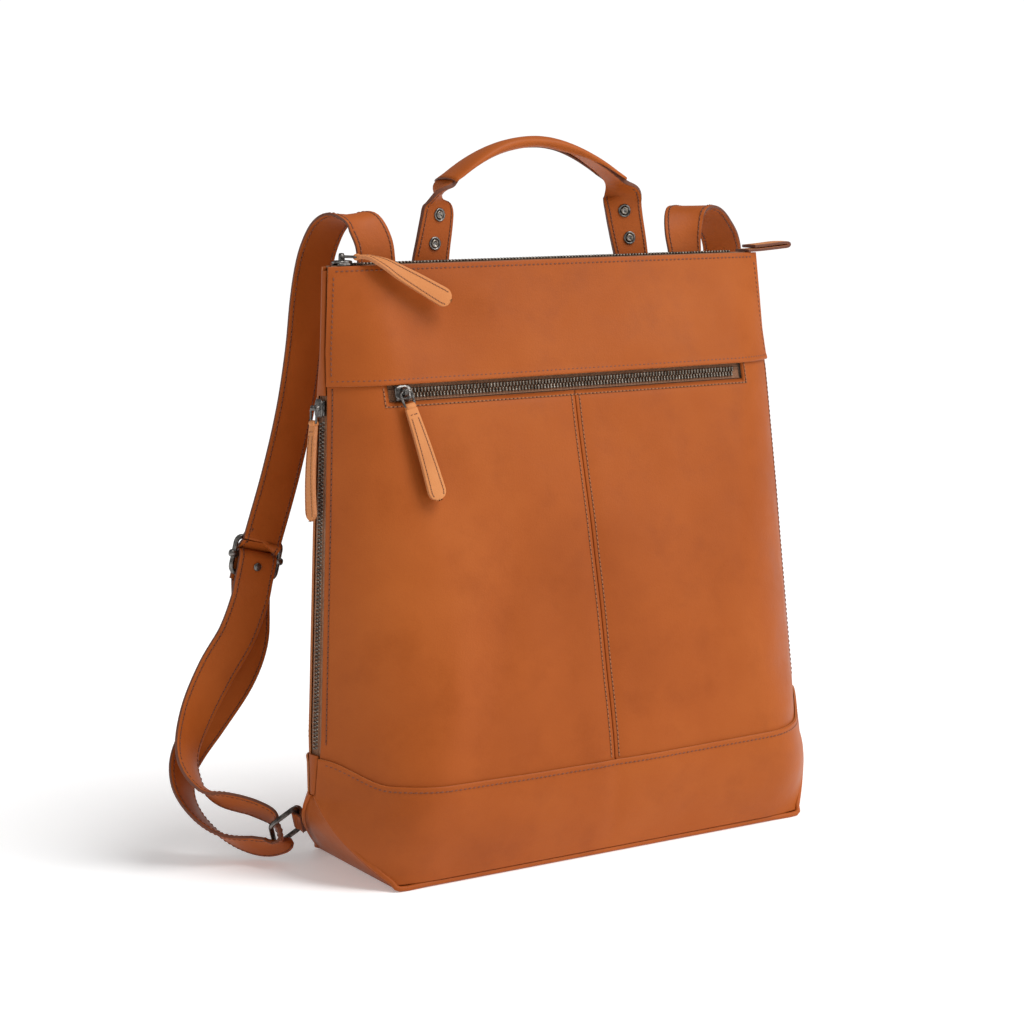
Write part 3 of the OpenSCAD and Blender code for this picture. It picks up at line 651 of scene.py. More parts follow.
def metal(name, dark, light, gloss=(0.22, 0.42)):
    """Antique plated metal: dark in its hollows, brighter where it is rubbed."""
    material, nodes, links, shader, place = new_material(name)
    patina = texture(nodes, links, place, "Noise", 260, 5, 0.65)
    scratch = texture(nodes, links, place, "Noise", 900, 3, 0.6, stretch=(1, 1, 6))
    colour = ramp(nodes, links, patina.outputs["Fac"], [(0.35, dark), (0.68, light)])
    links.new(colour, shader.inputs["Base Color"])
    rough = spread(nodes, links, scratch.outputs["Fac"], (0.3, 0.7), gloss)
    links.new(rough, shader.inputs["Roughness"])
    bump(nodes, links, shader, [(patina.outputs["Fac"], 0.25, 0.0002),
                                (scratch.outputs["Fac"], 0.1, 0.0001)])
    shader.inputs["Metallic"].default_value = 1.0
    return material


def cloth(name, dark, light, threads=1600, sheen=0.15):
    """Woven tape or lining: crossing threads with a little fuzz."""
    material, nodes, links, shader, place = new_material(name)
    mapping = nodes.new("ShaderNodeMapping")
    mapping.inputs["Rotation"].default_value = (0.2, 0.3, 0.1)
    links.new(place, mapping.inputs["Vector"])
    weaves = []
    for axis in ("X", "Z"):
        wave = nodes.new("ShaderNodeTexWave")
        wave.bands_direction = axis
        wave.inputs["Scale"].default_value = threads / 6.3
        wave.inputs["Distortion"].default_value = 0.6
        links.new(place, wave.inputs["Vector"])
        weaves.append(wave.outputs["Fac"])
    weave = mix(nodes, links, 0.5, weaves[0], weaves[1])
    fuzz = texture(nodes, links, place, "Noise", 500, 4, 0.7)
    colour = ramp(nodes, links, fuzz.outputs["Fac"], [(0.3, dark), (0.7, light)])
    colour = mix(nodes, links, 0.35, colour, weave, "MULTIPLY")
    links.new(colour, shader.inputs["Base Color"])
    shader.inputs["Roughness"].default_value = 0.85
    shader.inputs["Sheen Weight"].default_value = sheen
    bump(nodes, links, shader, [(weave, 0.5, 0.0002), (fuzz.outputs["Fac"], 0.3, 0.0002)])
    return material


def thread(name, dark, light):
    """Twisted waxed thread."""
    material, nodes, links, shader, place = new_material(name)
    twist = texture(nodes, links, place, "Noise", 1500, 2, 0.5, stretch=(1, 1, 3))
    colour = ramp(nodes, links, twist.outputs["Fac"], [(0.3, dark), (0.7, light)])
    links.new(colour, shader.inputs["Base Color"])
    shader.inputs["Roughness"].default_value = 0.55
    bump(nodes, links, shader, [(twist.outputs["Fac"], 0.5, 0.0002)])
    return material


LEATHER = leather("cognac_leather", [(0.285, 0.062, 0.0100), (0.345, 0.080, 0.0135),
                                     (0.400, 0.102, 0.0190)])
STRAP_LEATHER = leather("strap_leather", [(0.310, 0.067, 0.0100), (0.370, 0.085, 0.0135),
                                          (0.425, 0.108, 0.0185)], grain=0.3)
BASE_LEATHER = leather("base_leather", [(0.265, 0.058, 0.0095), (0.315, 0.073, 0.0125),
                                        (0.355, 0.090, 0.0165)], grain=0.3)
PALE_LEATHER = leather("pull_leather", [(0.50, 0.175, 0.055), (0.57, 0.220, 0.076),
                                        (0.63, 0.265, 0.100)], gloss=(0.45, 0.6))
EDGE_PAINT = cut_edge("edge_paint", (0.085, 0.020, 0.006), (0.15, 0.038, 0.011))
RAW_EDGE = cut_edge("raw_edge", (0.40, 0.135, 0.040), (0.52, 0.20, 0.07))
GUNMETAL = metal("gunmetal", (0.055, 0.050, 0.046), (0.26, 0.245, 0.23))
TOOTH_METAL = metal("tooth_metal", (0.09, 0.075, 0.06), (0.36, 0.32, 0.27), (0.24, 0.4))
TAPE = cloth("zip_tape", (0.20, 0.085, 0.038), (0.34, 0.155, 0.075))
LINING = cloth("lining", (0.22, 0.17, 0.12), (0.34, 0.27, 0.19), threads=900)
BOARD = cut_edge("board", (0.03, 0.03, 0.03), (0.06, 0.06, 0.06))
# Stitch thread: its own brown, darkened further with painted shade of the stitch groove
THREAD = thread("thread", (0.115, 0.026, 0.006), (0.22, 0.055, 0.014))
LIGHT_THREAD = thread("light_thread", (0.26, 0.085, 0.024), (0.38, 0.14, 0.045))
# Near-black colour of the needle-hole discs: painted shade inside the holes
PAINTED_HOLE_SHADE = cut_edge("needle_hole_painted_shade", (0.035, 0.010, 0.004), (0.07, 0.02, 0.008))


def paint(nodes_named, material):
    """Gives CAD nodes that stay a procedural material."""
    for name in nodes_named:
        mesh = frame["nodes"][name].data
        mesh.materials.clear()
        mesh.materials.append(material)


# ---- Front, back and base ----

def flat(value):
    return lambda *_: value


TOP_Z = BODY_H + 0.6
BAND_T = 1.6
BAND_LIFT = 1.6
YOKE_T = 1.6
UNDERLAP = 3


def band_lift(k, z):
    """The folded band stands proud at its stitched top and meets the piping below."""
    top = band_top(k)
    return BAND_LIFT * ease((z - 6) / 30) + 0.45 * bell(top - z - 1.2, 1.4)


def yoke_lift(k, z):
    return YOKE_T + 0.5 * bell(z - YOKE_Z - 1.3, 1.5)


def make_shell():
    sheet("yoke_leather", FRONT, flat(YOKE_Z), flat(TOP_Z), yoke_lift, YOKE_T, columns=90,
          rows=26, replaces=["front_yoke"])
    sheet("yoke_facing", FRONT, flat(BODY_H - 16), flat(TOP_Z), flat(-0.05), 1.2, (-0.985, 0.985),
          columns=60, rows=6)
    for sign, side_name in ((-1, "left"), (1, "right")):
        k_range = (-1, -0.0008) if sign < 0 else (0.0008, 1)
        sheet(f"front_panel_{side_name}_leather", FRONT,
              lambda k: band_top(k) - UNDERLAP, flat(YOKE_Z + UNDERLAP), flat(0), LEATHER_T,
              k_range, columns=56, rows=64, window=(sign * WINDOW_X, WINDOW_Z),
              replaces=[f"front_panel_{side_name}"])
    sheet("back_panel_leather", BACK, lambda k: band_top(k) - UNDERLAP, flat(TOP_Z), flat(0),
          LEATHER_T, columns=90, rows=70, replaces=["back_panel"])
    for side, side_name in ((FRONT, "front"), (BACK, "back")):
        sheet(f"{side_name}_band_leather", side, flat(2 * PIPING_R + 0.2), band_top, band_lift,
              BAND_T, columns=110, rows=26, replaces=[f"{side_name}_base_band"])
    sheet("strap_patch_leather", BACK, flat(BODY_H - 38), flat(BODY_H - 3), flat(2.4), 1.8,
          (-0.86, 0.86), columns=80, rows=12, replaces=["strap_patch"])


def base_stations():
    """Points (x, z) round the base from one tip to the other."""
    up = [TIP_Z * (1 - i / 14) for i in range(14)]
    flat_part = [(lerp(-1, 1, i / 16) * BASE_W / 2, 0) for i in range(17)]
    return ([(-half_w(z), z) for z in up] + flat_part + [(half_w(z), z) for z in up[::-1]])


def make_base():
    profile = base_stations()
    form = Form()
    for layer in (0, 1):
        points = []
        for x, z in profile:
            steep = ease(z / 14) * 1.2
            inward = Vector((-math.copysign(math.sin(steep), x) if z else 0, 0, math.cos(steep)))
            half = max(0.6, edge_d(z) - PIPING_R)
            for i in range(9):
                v = lerp(-1, 1, i / 8)
                sag = 0.5 * (1 - v * v) * ease(z / 20)
                points.append(Vector((x, mid_y(z) + v * half, z + 0.3)) + inward
                              * (sag + layer * LEATHER_T))
        form.add(points, grid_faces(len(profile), 9, flip=layer == 0))
    rim = rim_quads(len(profile), 9)
    form.faces += rim
    form.numbers += [0] * len(rim)
    build("base_leather", form, [BASE_LEATHER], "dark_leather", body="root", weld=0.002,
          replaces=["base_panel"])
    for side, side_name in ((FRONT, "front"), (BACK, "back")):
        path = [Vector((x * (1 - 0.5 / SIDE_W), mid_y(z) + side * (edge_d(z) - 0.9),
                        z + PIPING_R + 0.2)) for x, z in profile]
        form = Form()
        tube(form, spline(path, 3), PIPING_R, 12)
        build(f"{side_name}_piping_leather", form, [LEATHER], "leather", body="root",
              replaces=[f"{side_name}_piping"])


def make_side_edges():
    """Plain strips that close the right edge and the ends of the left edge."""
    spans = {"left_side_strips": [(-1, 318, BODY_H - 2), (-1, TIP_Z + 2, 84)],
             "right_side_strip": [(1, TIP_Z + 2, BODY_H - 2)]}
    for node, parts in spans.items():
        form = Form()
        for sign, z0, z1 in parts:
            count = max(2, round((z1 - z0) / 8))
            points = [Vector((sign * half_w(z), mid_y(z), z))
                      for z in (lerp(z0, z1, i / count) for i in range(count + 1))]
            frames = frames_along(points, [Vector((0, 1, 0))] * len(points))
            sweep(form, frames, lambda i: strip_section(
                2 * edge_d(points[i].z) - 3.2, 2.0, crown_h=0.4))
        build(node.replace("strips", "strip") + "_leather", form, [LEATHER], "leather",
              body="root", replaces=[node])


def make_body_stitching():
    form = Form()
    yoke_low, yoke_top, rim = YOKE_Z + 3.2, TOP_Z - 3.2, 3.2
    lift = YOKE_T - 0.15
    add_stitches(form, seam(FRONT, [(-half_w(yoke_low) + 2, yoke_low),
                                    (half_w(yoke_low) - 2, yoke_low)], lift))
    add_stitches(form, seam(FRONT, [(-half_w(yoke_top) + 4, yoke_top),
                                    (half_w(yoke_top) - 4, yoke_top)], lift))
    for s in (-1, 1):
        add_stitches(form, seam(FRONT, [(s * (half_w(YOKE_Z) - rim), YOKE_Z + 6),
                                        (s * (half_w(BODY_H) - rim), BODY_H - 6)], lift))
        add_stitches(form, seam(FRONT, [(s * (half_w(90) - 2.6), 92),
                                        (s * (half_w(YOKE_Z) - 2.6), YOKE_Z - 3)], 0.1))
        add_stitches(form, seam(BACK, [(s * (half_w(90) - 2.6), 92),
                                       (s * (half_w(BODY_H) - 3.2), BODY_H - 42)], 0.1))
    build("body_stitching", form, [THREAD, PAINTED_HOLE_SHADE], "thread", body="root")

    form = Form()
    for side in (FRONT, BACK):
        path = []
        for i in range(181):
            k = lerp(-0.985, 0.985, i / 180)
            z = band_top(k) - 3.2
            path.append(surface(side, k * half_w(z), z, BAND_LIFT - 0.1))
        add_stitches(form, path)
    build("band_stitching", form, [THREAD, PAINTED_HOLE_SHADE], "thread", body="root")

    form = Form()
    for s in (-1, 1):
        add_stitches(form, seam(FRONT, [(s * 3.1, BAND_Z + 1), (s * 3.1, WINDOW_Z - 4)], 0.1),
                     pitch=3.0)
    edge = WINDOW_X + 3
    add_stitches(form, seam(FRONT, [(-edge, YOKE_Z - 1), (-edge, WINDOW_Z - 3),
                                    (edge, WINDOW_Z - 3), (edge, YOKE_Z - 1)], 0.1), pitch=3.0)
    build("seam_stitching", form, [LIGHT_THREAD, PAINTED_HOLE_SHADE], "thread", body="root")

    form = Form()
    for z in (BODY_H - 6.2, BODY_H - 34.8):
        add_stitches(form, seam(BACK, [(-0.84 * half_w(z), z), (0.84 * half_w(z), z)], 2.3))
    build("patch_stitching", form, [THREAD, PAINTED_HOLE_SHADE], "thread", body="root")


# ---- Zips ----

TOOTH_PITCH = 2.5


def add_teeth(form, start, along, across, out, length, half=3.0):
    """Two rows of metal teeth that mesh along the middle."""
    for i in range(int(length / TOOTH_PITCH)):
        for s in (-1, 1):
            at = (i + 0.25 + (0.5 if s > 0 else 0)) * TOOTH_PITCH
            centre = start + along * at + across * s * half * 0.52
            block(form, centre, (along, across, out), (0.56, half * 0.52, 0.95), soft=0.38)
            cap = centre + across * s * half * 0.34 + out * 0.15
            block(form, cap, (along, across, out), (0.72, half * 0.22, 0.9), soft=0.4)


def rounded_loop(corners, radius, steps=5):
    """Closed path through corners, with each corner rounded."""
    path, count = [], len(corners)
    for i, corner_point in enumerate(corners):
        before = (corners[i - 1] - corner_point).normalized() * radius
        after = (corners[(i + 1) % count] - corner_point).normalized() * radius
        for j in range(steps + 1):
            t = j / steps
            path.append(corner_point + before * (1 - t) ** 2 + after * t ** 2)
    return path


def add_slider(form, centre, along, across, out, lug_turn):
    """Cast slider body: two plates' outline, a raised bridge and its two side wings."""
    outline = [(-6, 2.6), (-5.2, 3.9), (-2.5, 4.9), (1.5, 5.1), (4.6, 4.5), (6, 3.4)]
    outline = outline + [(x, -y) for x, y in outline[::-1]]
    levels = [(-0.2, 0.93), (0.2, 1.0), (1.3, 1.0), (1.75, 0.9), (2.0, 0.72)]
    points = [centre + along * x * share + across * y * share + out * rise
              for rise, share in levels for x, y in outline]
    count = len(outline)
    faces = grid_faces(len(levels), count, wrap=True, flip=True)
    faces += [list(range(count)), [(len(levels) - 1) * count + i for i in range(count)][::-1]]
    form.add(points, faces)
    for s in (-1, 1):
        block(form, centre + across * s * 4.3 - out * 1.0, (along, across, out),
              (5.0, 0.55, 1.4))
    turn = math.radians(lug_turn)
    line = along * math.cos(turn) + across * math.sin(turn)
    hole = line.cross(out).normalized()
    arch = [centre + hole * 2.9 * math.cos(a) + out * (1.4 + 4.6 * math.sin(a))
            for a in (math.pi * i / 12 for i in range(13))]
    frames = frames_along(arch, [line] * len(arch))
    sweep(form, frames, strip_section(3.4, 1.3, crown_h=0.1))


def add_link(form, pivot, bar, reach, length=10, width=8.6, wire=1.6):
    """Wire link: its top bar lies along bar at the pivot, and it hangs along reach."""
    half = bar * width / 2
    corners = [pivot - half, pivot + half, pivot + half * 0.86 + reach * length,
               pivot - half * 0.86 + reach * length]
    tube(form, rounded_loop(corners, 2.2), wire / 2, 10, closed=True)


PULL_T = 2.6
LUG_HEIGHT = 4.4


def pull_width(at, length, head=8.5, width=13):
    """Width of a pull at a distance from its head: it widens to a round end."""
    left = length - at
    if left < width / 2:
        return 2 * math.sqrt(max(0.04, (width / 2) ** 2 - (width / 2 - left) ** 2))
    return lerp(head, width, at / (length - width / 2))


def add_pull(leather_form, thread_form, points, wides, link_end, bar):
    """Folded leather pull with raw edges and two rows of stitches."""
    frames = frames_along(points, wides)
    length = sum((b - a).length for a, b in zip(points, points[1:]))
    travelled = [0]
    for a, b in zip(points, points[1:]):
        travelled.append(travelled[-1] + (b - a).length)
    widths = [pull_width(t, length) for t in travelled]
    sweep(leather_form, frames, lambda i: strip_section(widths[i], PULL_T, 0.5, 0.3), 0, 1)
    head = [link_end + bar * a for a in (-3.3, -3.1, 3.1, 3.3)]
    ring = frames_along(head, [UP.cross(bar) if abs(bar.z) < 0.9 else Vector((1, 0, 0))] * 4)
    sweep(leather_form, ring, lambda i: circle(1.9 if i in (0, 3) else 2.2, 16))
    for s in (-1, 1):
        for face in (-1, 1):
            path = [(p + x * s * (w / 2 - 2.1) + n * face * (PULL_T / 2 + 0.1), n * face)
                    for (p, x, n, _), w, t in zip(frames, widths, travelled)
                    if 5.5 < t < length - 3.2]
            add_stitches(thread_form, path, pitch=2.5, size=0.8)
    p, x, n, _ = frames[min(range(len(travelled)), key=lambda i: abs(travelled[i] - 4.5))]
    for face in (-1, 1):
        cross = [(p + x * a + n * face * (PULL_T / 2 + 0.15), n * face) for a in (-2.9, 2.9)]
        add_stitches(thread_form, cross, pitch=2.5, size=0.8)


def make_zip(label, along, across, out, lug_turn, bar, reach, pull_points, pull_wides):
    """Slider, link and pull of one zip, each on its own body."""
    form = Form()
    pivot = PIVOTS[f"{label}_pull_swing"]
    add_slider(form, pivot - out * LUG_HEIGHT, along, across, out, lug_turn)
    build(f"{label}_slider_cast", form, [GUNMETAL], "gunmetal", body=f"{label}_slider",
          replaces=[f"{label}_zip_slider"])
    form = Form()
    add_link(form, pivot, bar, reach)
    build(f"{label}_link_wire", form, [GUNMETAL], "gunmetal", body=f"{label}_pull",
          replaces=[f"{label}_zip_link"])
    leather_form, thread_form = Form(), Form()
    add_pull(leather_form, thread_form, pull_points, pull_wides, pivot + reach * 10, bar)
    build(f"{label}_pull_leather", leather_form, [PALE_LEATHER, RAW_EDGE], "pale_leather",
          body=f"{label}_pull", replaces=[f"{label}_zip_pull"])
    build(f"{label}_pull_stitching", thread_form, [LIGHT_THREAD, PAINTED_HOLE_SHADE], "thread",
          body=f"{label}_pull")


def hanging(pivot, reach, wide, bow, length=62):
    """Path of a pull that hangs from a link, bowed a little out of its plane."""
    start = pivot + reach * 10
    normal = reach.cross(wide).normalized()
    points = [start + reach * (1.5 + length * t) + normal * bow * math.sin(math.pi * t)
              for t in (i / 30 for i in range(31))]
    return points, [wide] * len(points)


def make_top_zip():
    along, across, out = Vector((1, 0, 0)), Vector((0, 1, 0)), UP
    base = Vector((low("top_zip_teeth").x, TOP_Y, BODY_H + 1.6))
    form = Form()
    add_teeth(form, base, along, across, out, high("top_zip_teeth").x - base.x)
    build("top_teeth", form, [TOOTH_METAL], "zip_metal", body="root",
          replaces=["top_zip_teeth"])
    make_tape("top_tape", "top_zip_tape", [
        (Vector((x, TOP_Y, BODY_H + 0.1)), across, out)
        for x in (lerp(low("top_zip_tape").x, high("top_zip_tape").x, i / 40)
                  for i in range(41))],
        lambda p: 2 * (lerp(TIP_HALF, EDGE_HALF, crown(2 * p.x / TOP_W, BODY_H)) - 2.3))
    pivot = PIVOTS["top_pull_swing"]
    reach = Vector((math.cos(math.radians(35)), -math.sin(math.radians(35)), -0.05)).normalized()
    bar = UP.cross(reach).normalized()
    end = pivot + reach * 10
    steps = [(1.4, -1, 0), (6.6, -4.8, -0.4), (15, -10.5, -4.5), (24, -14.5, -10.5),
             (36, -17, -17.5), (48, -18.5, -24.5), (58, -19, -30)]
    wides = [(0.57, 0.82, 0), (0.57, 0.8, 0.1), (0.5, 0.6, 0.5), (0.5, 0.3, 0.7),
             (0.5, 0.15, 0.85), (0.5, 0.1, 0.9), (0.45, 0.1, 0.9)]
    make_zip("top", along, across, out, -35, bar, reach,
             spline([end + Vector(s) for s in steps], 6), spline(vectors(wides), 6))


def make_tape(name, node, line, width):
    """Woven tape with a bead along its teeth. line is (point, across, out)."""
    form = Form()
    sweep(form, [(*row, None) for row in line],
          lambda i: strip_section(width(line[i][0]), 0.7, 0.3, 0.05))
    for s in (-1, 1):
        bead = [p + across * s * 3.6 + out * 0.5 for p, across, out in line]
        tube(form, bead, 0.55, 8)
    build(name, form, [TAPE], "zip_tape", body="root", replaces=[node])


def make_front_zip():
    slope = (centre_y(FRONT, ZIP_Z + 5) - centre_y(FRONT, ZIP_Z - 5)) / 10
    along = Vector((1, 0, 0))
    across = Vector((0, slope, 1)).normalized()
    out = along.cross(across)
    seat = Vector((0, centre_y(FRONT, ZIP_Z), ZIP_Z))
    base = seat + along * low("front_zip_teeth").x - out * 2.6
    form = Form()
    add_teeth(form, base, along, across, out,
              high("front_zip_teeth").x - low("front_zip_teeth").x)
    build("front_teeth", form, [TOOTH_METAL], "zip_metal", body="root",
          replaces=["front_zip_teeth"])
    make_tape("front_tape", "front_zip_tape", [
        (seat + along * x - out * 3.6 - across * 1, across, out)
        for x in (lerp(-WINDOW_X + 1, WINDOW_X - 1, i / 40) for i in range(41))], flat(14))
    pivot = PIVOTS["front_pull_swing"]
    lean = math.radians(11)
    bar = along * math.cos(lean) + across * math.sin(lean)
    reach = (along * math.sin(lean) - across * math.cos(lean))
    points, wides = hanging(pivot, reach, bar, 1.2)
    make_zip("front", along, across, out, 11, bar, reach, points, wides)


def side_edge(z):
    return Vector((-half_w(z), mid_y(z), z))


def make_side_zip():
    down = (side_edge(100) - side_edge(300)).normalized()
    across = Vector((0, 1, 0))
    across = (across - down * across.dot(down)).normalized()
    out = across.cross(down).normalized()
    if out.x > 0:
        out = -out
    top, foot = high("side_zip_teeth").z, low("side_zip_teeth").z
    form = Form()
    add_teeth(form, side_edge(top) - out * 1.4, down, across, out, top - foot)
    build("side_teeth", form, [TOOTH_METAL], "zip_metal", body="root",
          replaces=["side_zip_teeth"])
    z0, z1 = low("side_zip_tape").z, high("side_zip_tape").z
    make_tape("side_tape", "side_zip_tape", [
        (side_edge(lerp(z0, z1, i / 40)) - out * 1.9, across, out) for i in range(41)],
        lambda p: 2 * (edge_d(p.z) - 2.0))
    pivot = PIVOTS["side_pull_swing"]
    points, wides = hanging(pivot, down, across, -1.5)
    make_zip("side", down, across, out, 0, across, down, points, wides)


def make_end_tab():
    """Leather folded over the end of the top zip."""
    start = Vector((low("top_zip_end_tab").x, TOP_Y, BODY_H + 2.0))
    under = [(0, 0), (10, 0.3), (20, 0.9), (30, 1.6), (35.5, 2.1)]
    over = [(37.2, 3.4), (35.8, 4.7), (30, 4.7), (20, 3.9), (11, 3.3), (6, 3.0)]
    points = spline([start + Vector((x, 0, z)) for x, z in under + over], 4)
    frames = frames_along(points, [Vector((0, 1, 0))] * len(points))
    form = Form()
    sweep(form, frames, strip_section(16, 2.0, 0.4, 0.3), 0, 1)
    build("end_tab_leather", form, [PALE_LEATHER, EDGE_PAINT], "leather", body="root",
          replaces=["top_zip_end_tab"])


# ---- Grab handle ----

HANDLE_X, HANDLE_Y = middle("handle_grip").x, middle("handle_grip").y
LEG_W, LEG_T = 27, 3.6
CORE_T = 2.2
GRIP_W, GRIP_HALF_T = 14, 4
GRIP_LOW, GRIP_RISE, GRIP_REACH = 53, 80, 67.5
LEG_HEIGHTS = (4, 13, 27, 37, 44.5)


def leg_out(h):
    return lookup(h, ((0, 81), (32, 74.6), (44, 73.3)))


def leg_turn(h):
    return math.radians(lookup(h, ((0, 0), (13, 6), (36, 13), (45, 57), (52, 88))))


def grip_point(k):
    return Vector((HANDLE_X + k * GRIP_REACH, HANDLE_Y,
                   BODY_H + lerp(GRIP_RISE, GRIP_LOW, k * k)))


def sleeve_half(k):
    return lerp(GRIP_W / 2, LEG_W / 2 + 1, ease((abs(k) - 0.1) / 0.9))


def handle_frames():
    """Strap from the left anchor up, through the sleeve and down to the right anchor, with
    its width and thickness at each point."""
    rows = []
    for sign in (-1, 1):
        x = HANDLE_X + sign * leg_out(0)
        foot = [(Vector((x, HANDLE_Y + y, BODY_H + h)), Vector((-sign, 0, 0)), LEG_W, LEG_T)
                for y, h in ((8, -32), (3.5, -20), (0, -8), (0, -1))]
        leg = [(Vector((HANDLE_X + sign * leg_out(h), HANDLE_Y, BODY_H + h)),
                Vector((-sign * math.cos(leg_turn(h)), math.sin(leg_turn(h)), 0)), LEG_W, LEG_T)
               for h in LEG_HEIGHTS]
        end = [(grip_point(sign) + Vector((sign * 1.4, 0, -1.2)), Vector((0, 1, 0)), 25, LEG_T)]
        inside = [(grip_point(sign * k), Vector((0, 1, 0)), 1.5 * (sleeve_half(k) - LEATHER_T),
                   CORE_T) for k in (0.9, 0.8, 0.6, 0.4, 0.2)]
        side_rows = foot + leg + end + inside
        rows += side_rows if sign < 0 else side_rows[::-1]
    points, wides = spline([r[0] for r in rows], 6), spline([r[1] for r in rows], 6)
    sizes_along = spline([Vector((r[2], r[3], 0)) for r in rows], 6)
    return frames_along(points, wides), sizes_along


def make_handle():
    frames, sizes_along = handle_frames()
    form = Form()
    sweep(form, frames, lambda i: strip_section(sizes_along[i].x, sizes_along[i].y, 0.7), 0, 1)
    hinge_z = BODY_H + 2
    bend = ("root", "handle", (0, HANDLE_Y, hinge_z - 5), (0, HANDLE_Y, hinge_z + 8))
    build("handle_strap_leather", form, [STRAP_LEATHER, EDGE_PAINT], "leather", blend=bend,
          replaces=["handle_core", "handle_leg_left", "handle_leg_right", "handle_anchors"])

    form = Form()
    for part in (-1, 1):
        for s in (-1, 1):
            for face in (-1, 1):
                row = [(p + x * s * (LEG_W / 2 - 2.6) + n * face * (LEG_T / 2 + 0.1), n * face)
                       for p, x, n, _ in frames
                       if (p.x - HANDLE_X) * part > 0 and p.z < BODY_H + 46
                       and (face * part * n.y < 0 or p.z > BODY_H + 2)]
                add_stitches(form, row, pitch=3.0)
    build("handle_stitching", form, [THREAD, PAINTED_HOLE_SHADE], "thread", blend=bend)
    make_sleeve()
    make_studs()


def make_sleeve():
    """Leather sleeve: rolled shut in the middle of the grip, open below at its ends."""
    rows, cols = 49, 27
    form = Form()
    for off in (0, LEATHER_T):
        points = []
        for i in range(rows):
            k = lerp(-1, 1, i / (rows - 1))
            up = Vector((2 * k * (GRIP_RISE - GRIP_LOW) / GRIP_REACH, 0, 1)).normalized()
            wrap = math.radians(lerp(160, 95, ease((abs(k) - 0.2) / 0.8)))
            flare = 0.8 * bell(abs(k) - 1, 0.05)
            for j in range(cols):
                a = lerp(-1, 1, j / (cols - 1)) * wrap
                pucker = 0.25 * math.sin(9 * k + 2 * a) * (1 - abs(k))
                points.append(grip_point(k) + Vector((0, 1, 0)) * (sleeve_half(k) - off)
                              * math.sin(a) + up * ((GRIP_HALF_T - off) * math.cos(a)
                                                    + pucker + flare))
        form.add(points, grid_faces(rows, cols, flip=off > 0))
    rim = rim_quads(rows, cols)
    form.faces += rim
    form.numbers += [1] * len(rim)
    build("handle_sleeve_leather", form, [STRAP_LEATHER, EDGE_PAINT], "leather", body="handle",
          weld=0.002, replaces=["handle_grip"])


def make_studs():
    """Open press studs, a dark ring round a small bright one, on both faces of each leg."""
    form = Form()
    for sign in (-1, 1):
        for h in (13, 32):
            turn = leg_turn(h)
            axis = Vector((-sign * math.sin(turn), -math.cos(turn), 0))
            place = Vector((HANDLE_X + sign * leg_out(h), HANDLE_Y, BODY_H + h))
            for face in (-1, 1):
                out = axis * face
                seat = place + out * LEG_T / 2
                lathe(form, seat, out, [(-0.5, 4.2), (0.5, 4.7), (1.0, 4.5), (1.2, 3.9),
                                        (0.9, 3.3), (0.3, 3.1)])
                lathe(form, seat, out, [(0.0, 3.0), (0.9, 2.9), (1.25, 2.4), (1.2, 1.9),
                                        (0.2, 1.5)], 6, number=1)
    build("handle_studs_turned", form, [GUNMETAL, TOOTH_METAL], "gunmetal", body="handle",
          replaces=["handle_studs"])


# ---- Shoulder straps ----

STRAP_W, STRAP_T = 28, 2.4
BUCKLES = {"left": (Vector((-196.5, 70, 205.5)), 15), "right": (Vector((172, 88, 213)), 0)}
RING_SEWN, RING_FREE = Vector((-186, 38, 31)), Vector((-204, 40, 20))
RING_ALONG = Vector((0.39, 0.655, -0.64)).normalized()
WIRE_D = 3.4


def by_buckle(label, out, up):
    place, turn = BUCKLES[label]
    turn = math.radians(turn)
    return place + Vector((up * math.sin(turn), out, up * math.cos(turn)))


def threaded(label):
    return [by_buckle(label, out, up)
            for out, up in ((-4.6, 15), (-4.6, 11.6), (-1.4, 9), (4.8, 3.1), (8, -2))]


def folded(label):
    return [by_buckle(label, out, up)
            for out, up in ((-4, -16), (-3.9, -8), (-3.1, 0), (0, 3.1), (3.1, 0), (3.9, -8),
                            (4, -17))]


LEFT_UPPER = [(-124, 26, 374), (-124, 23, 388), (-125, 22, 402), (-126, 24, 416),
              (-131, 30, 429), (-139, 40, 432), (-145, 50, 426), (-148, 60, 412),
              (-150, 66, 396), (-152, 70, 375), (-156, 71, 342), (-164, 71, 302),
              (-176.5, 70, 260)]
LEFT_LOWER = [(-197, 79, 190), (-197.5, 79, 170), (-200, 78, 146), (-211, 77, 123),
              (-231, 76, 98), (-247, 75, 79), (-253, 74, 63), (-251, 72, 46), (-243, 68, 31),
              (-229, 62, 18.5), (-214, 53, 12.5), (-205, 43, 13), (-200, 36, 17.5),
              (-200, 39, 24), (-202, 44, 31.5), (-213, 49, 39), (-234, 55, 48),
              (-248, 59, 59), (-254, 62, 80), (-246, 64, 105), (-230, 66, 132),
              (-214, 67, 154), (-204, 67, 176)]
LEFT_LOWER_WIDE = [(-1, 0, 0.2), (-1, 0, 0.1), (-1, 0, 0.2), (-1, 0, 0.4), (-1, -0.1, 0.5),
                   (-0.97, -0.2, 0.3), (-0.87, -0.48, 0.12), (-0.65, -0.7, 0.14),
                   (-0.5, -0.85, 0.16), (-0.45, -0.78, 0.4), (-0.39, -0.655, 0.64),
                   (-0.39, -0.655, 0.64), (-0.39, -0.655, 0.64), (-0.39, -0.655, 0.64),
                   (-0.37, -0.67, 0.64), (-0.34, -0.72, 0.6), (-0.33, -0.75, 0.55),
                   (-0.5, -0.85, 0.14), (-0.81, -0.58, 0.13), (-0.96, -0.24, 0.2),
                   (-1, 0, 0.4), (-1, 0, 0.4), (-1, 0, 0.3)]
RIGHT_UPPER = [(124, 26, 374), (124, 23, 388), (123, 22, 402), (123, 24, 416), (129, 30, 429),
               (141, 37, 433), (155, 44, 430), (168, 50, 421), (180, 57, 409), (187, 65, 392),
               (187, 76, 350), (180, 84, 302), (174, 87, 262)]
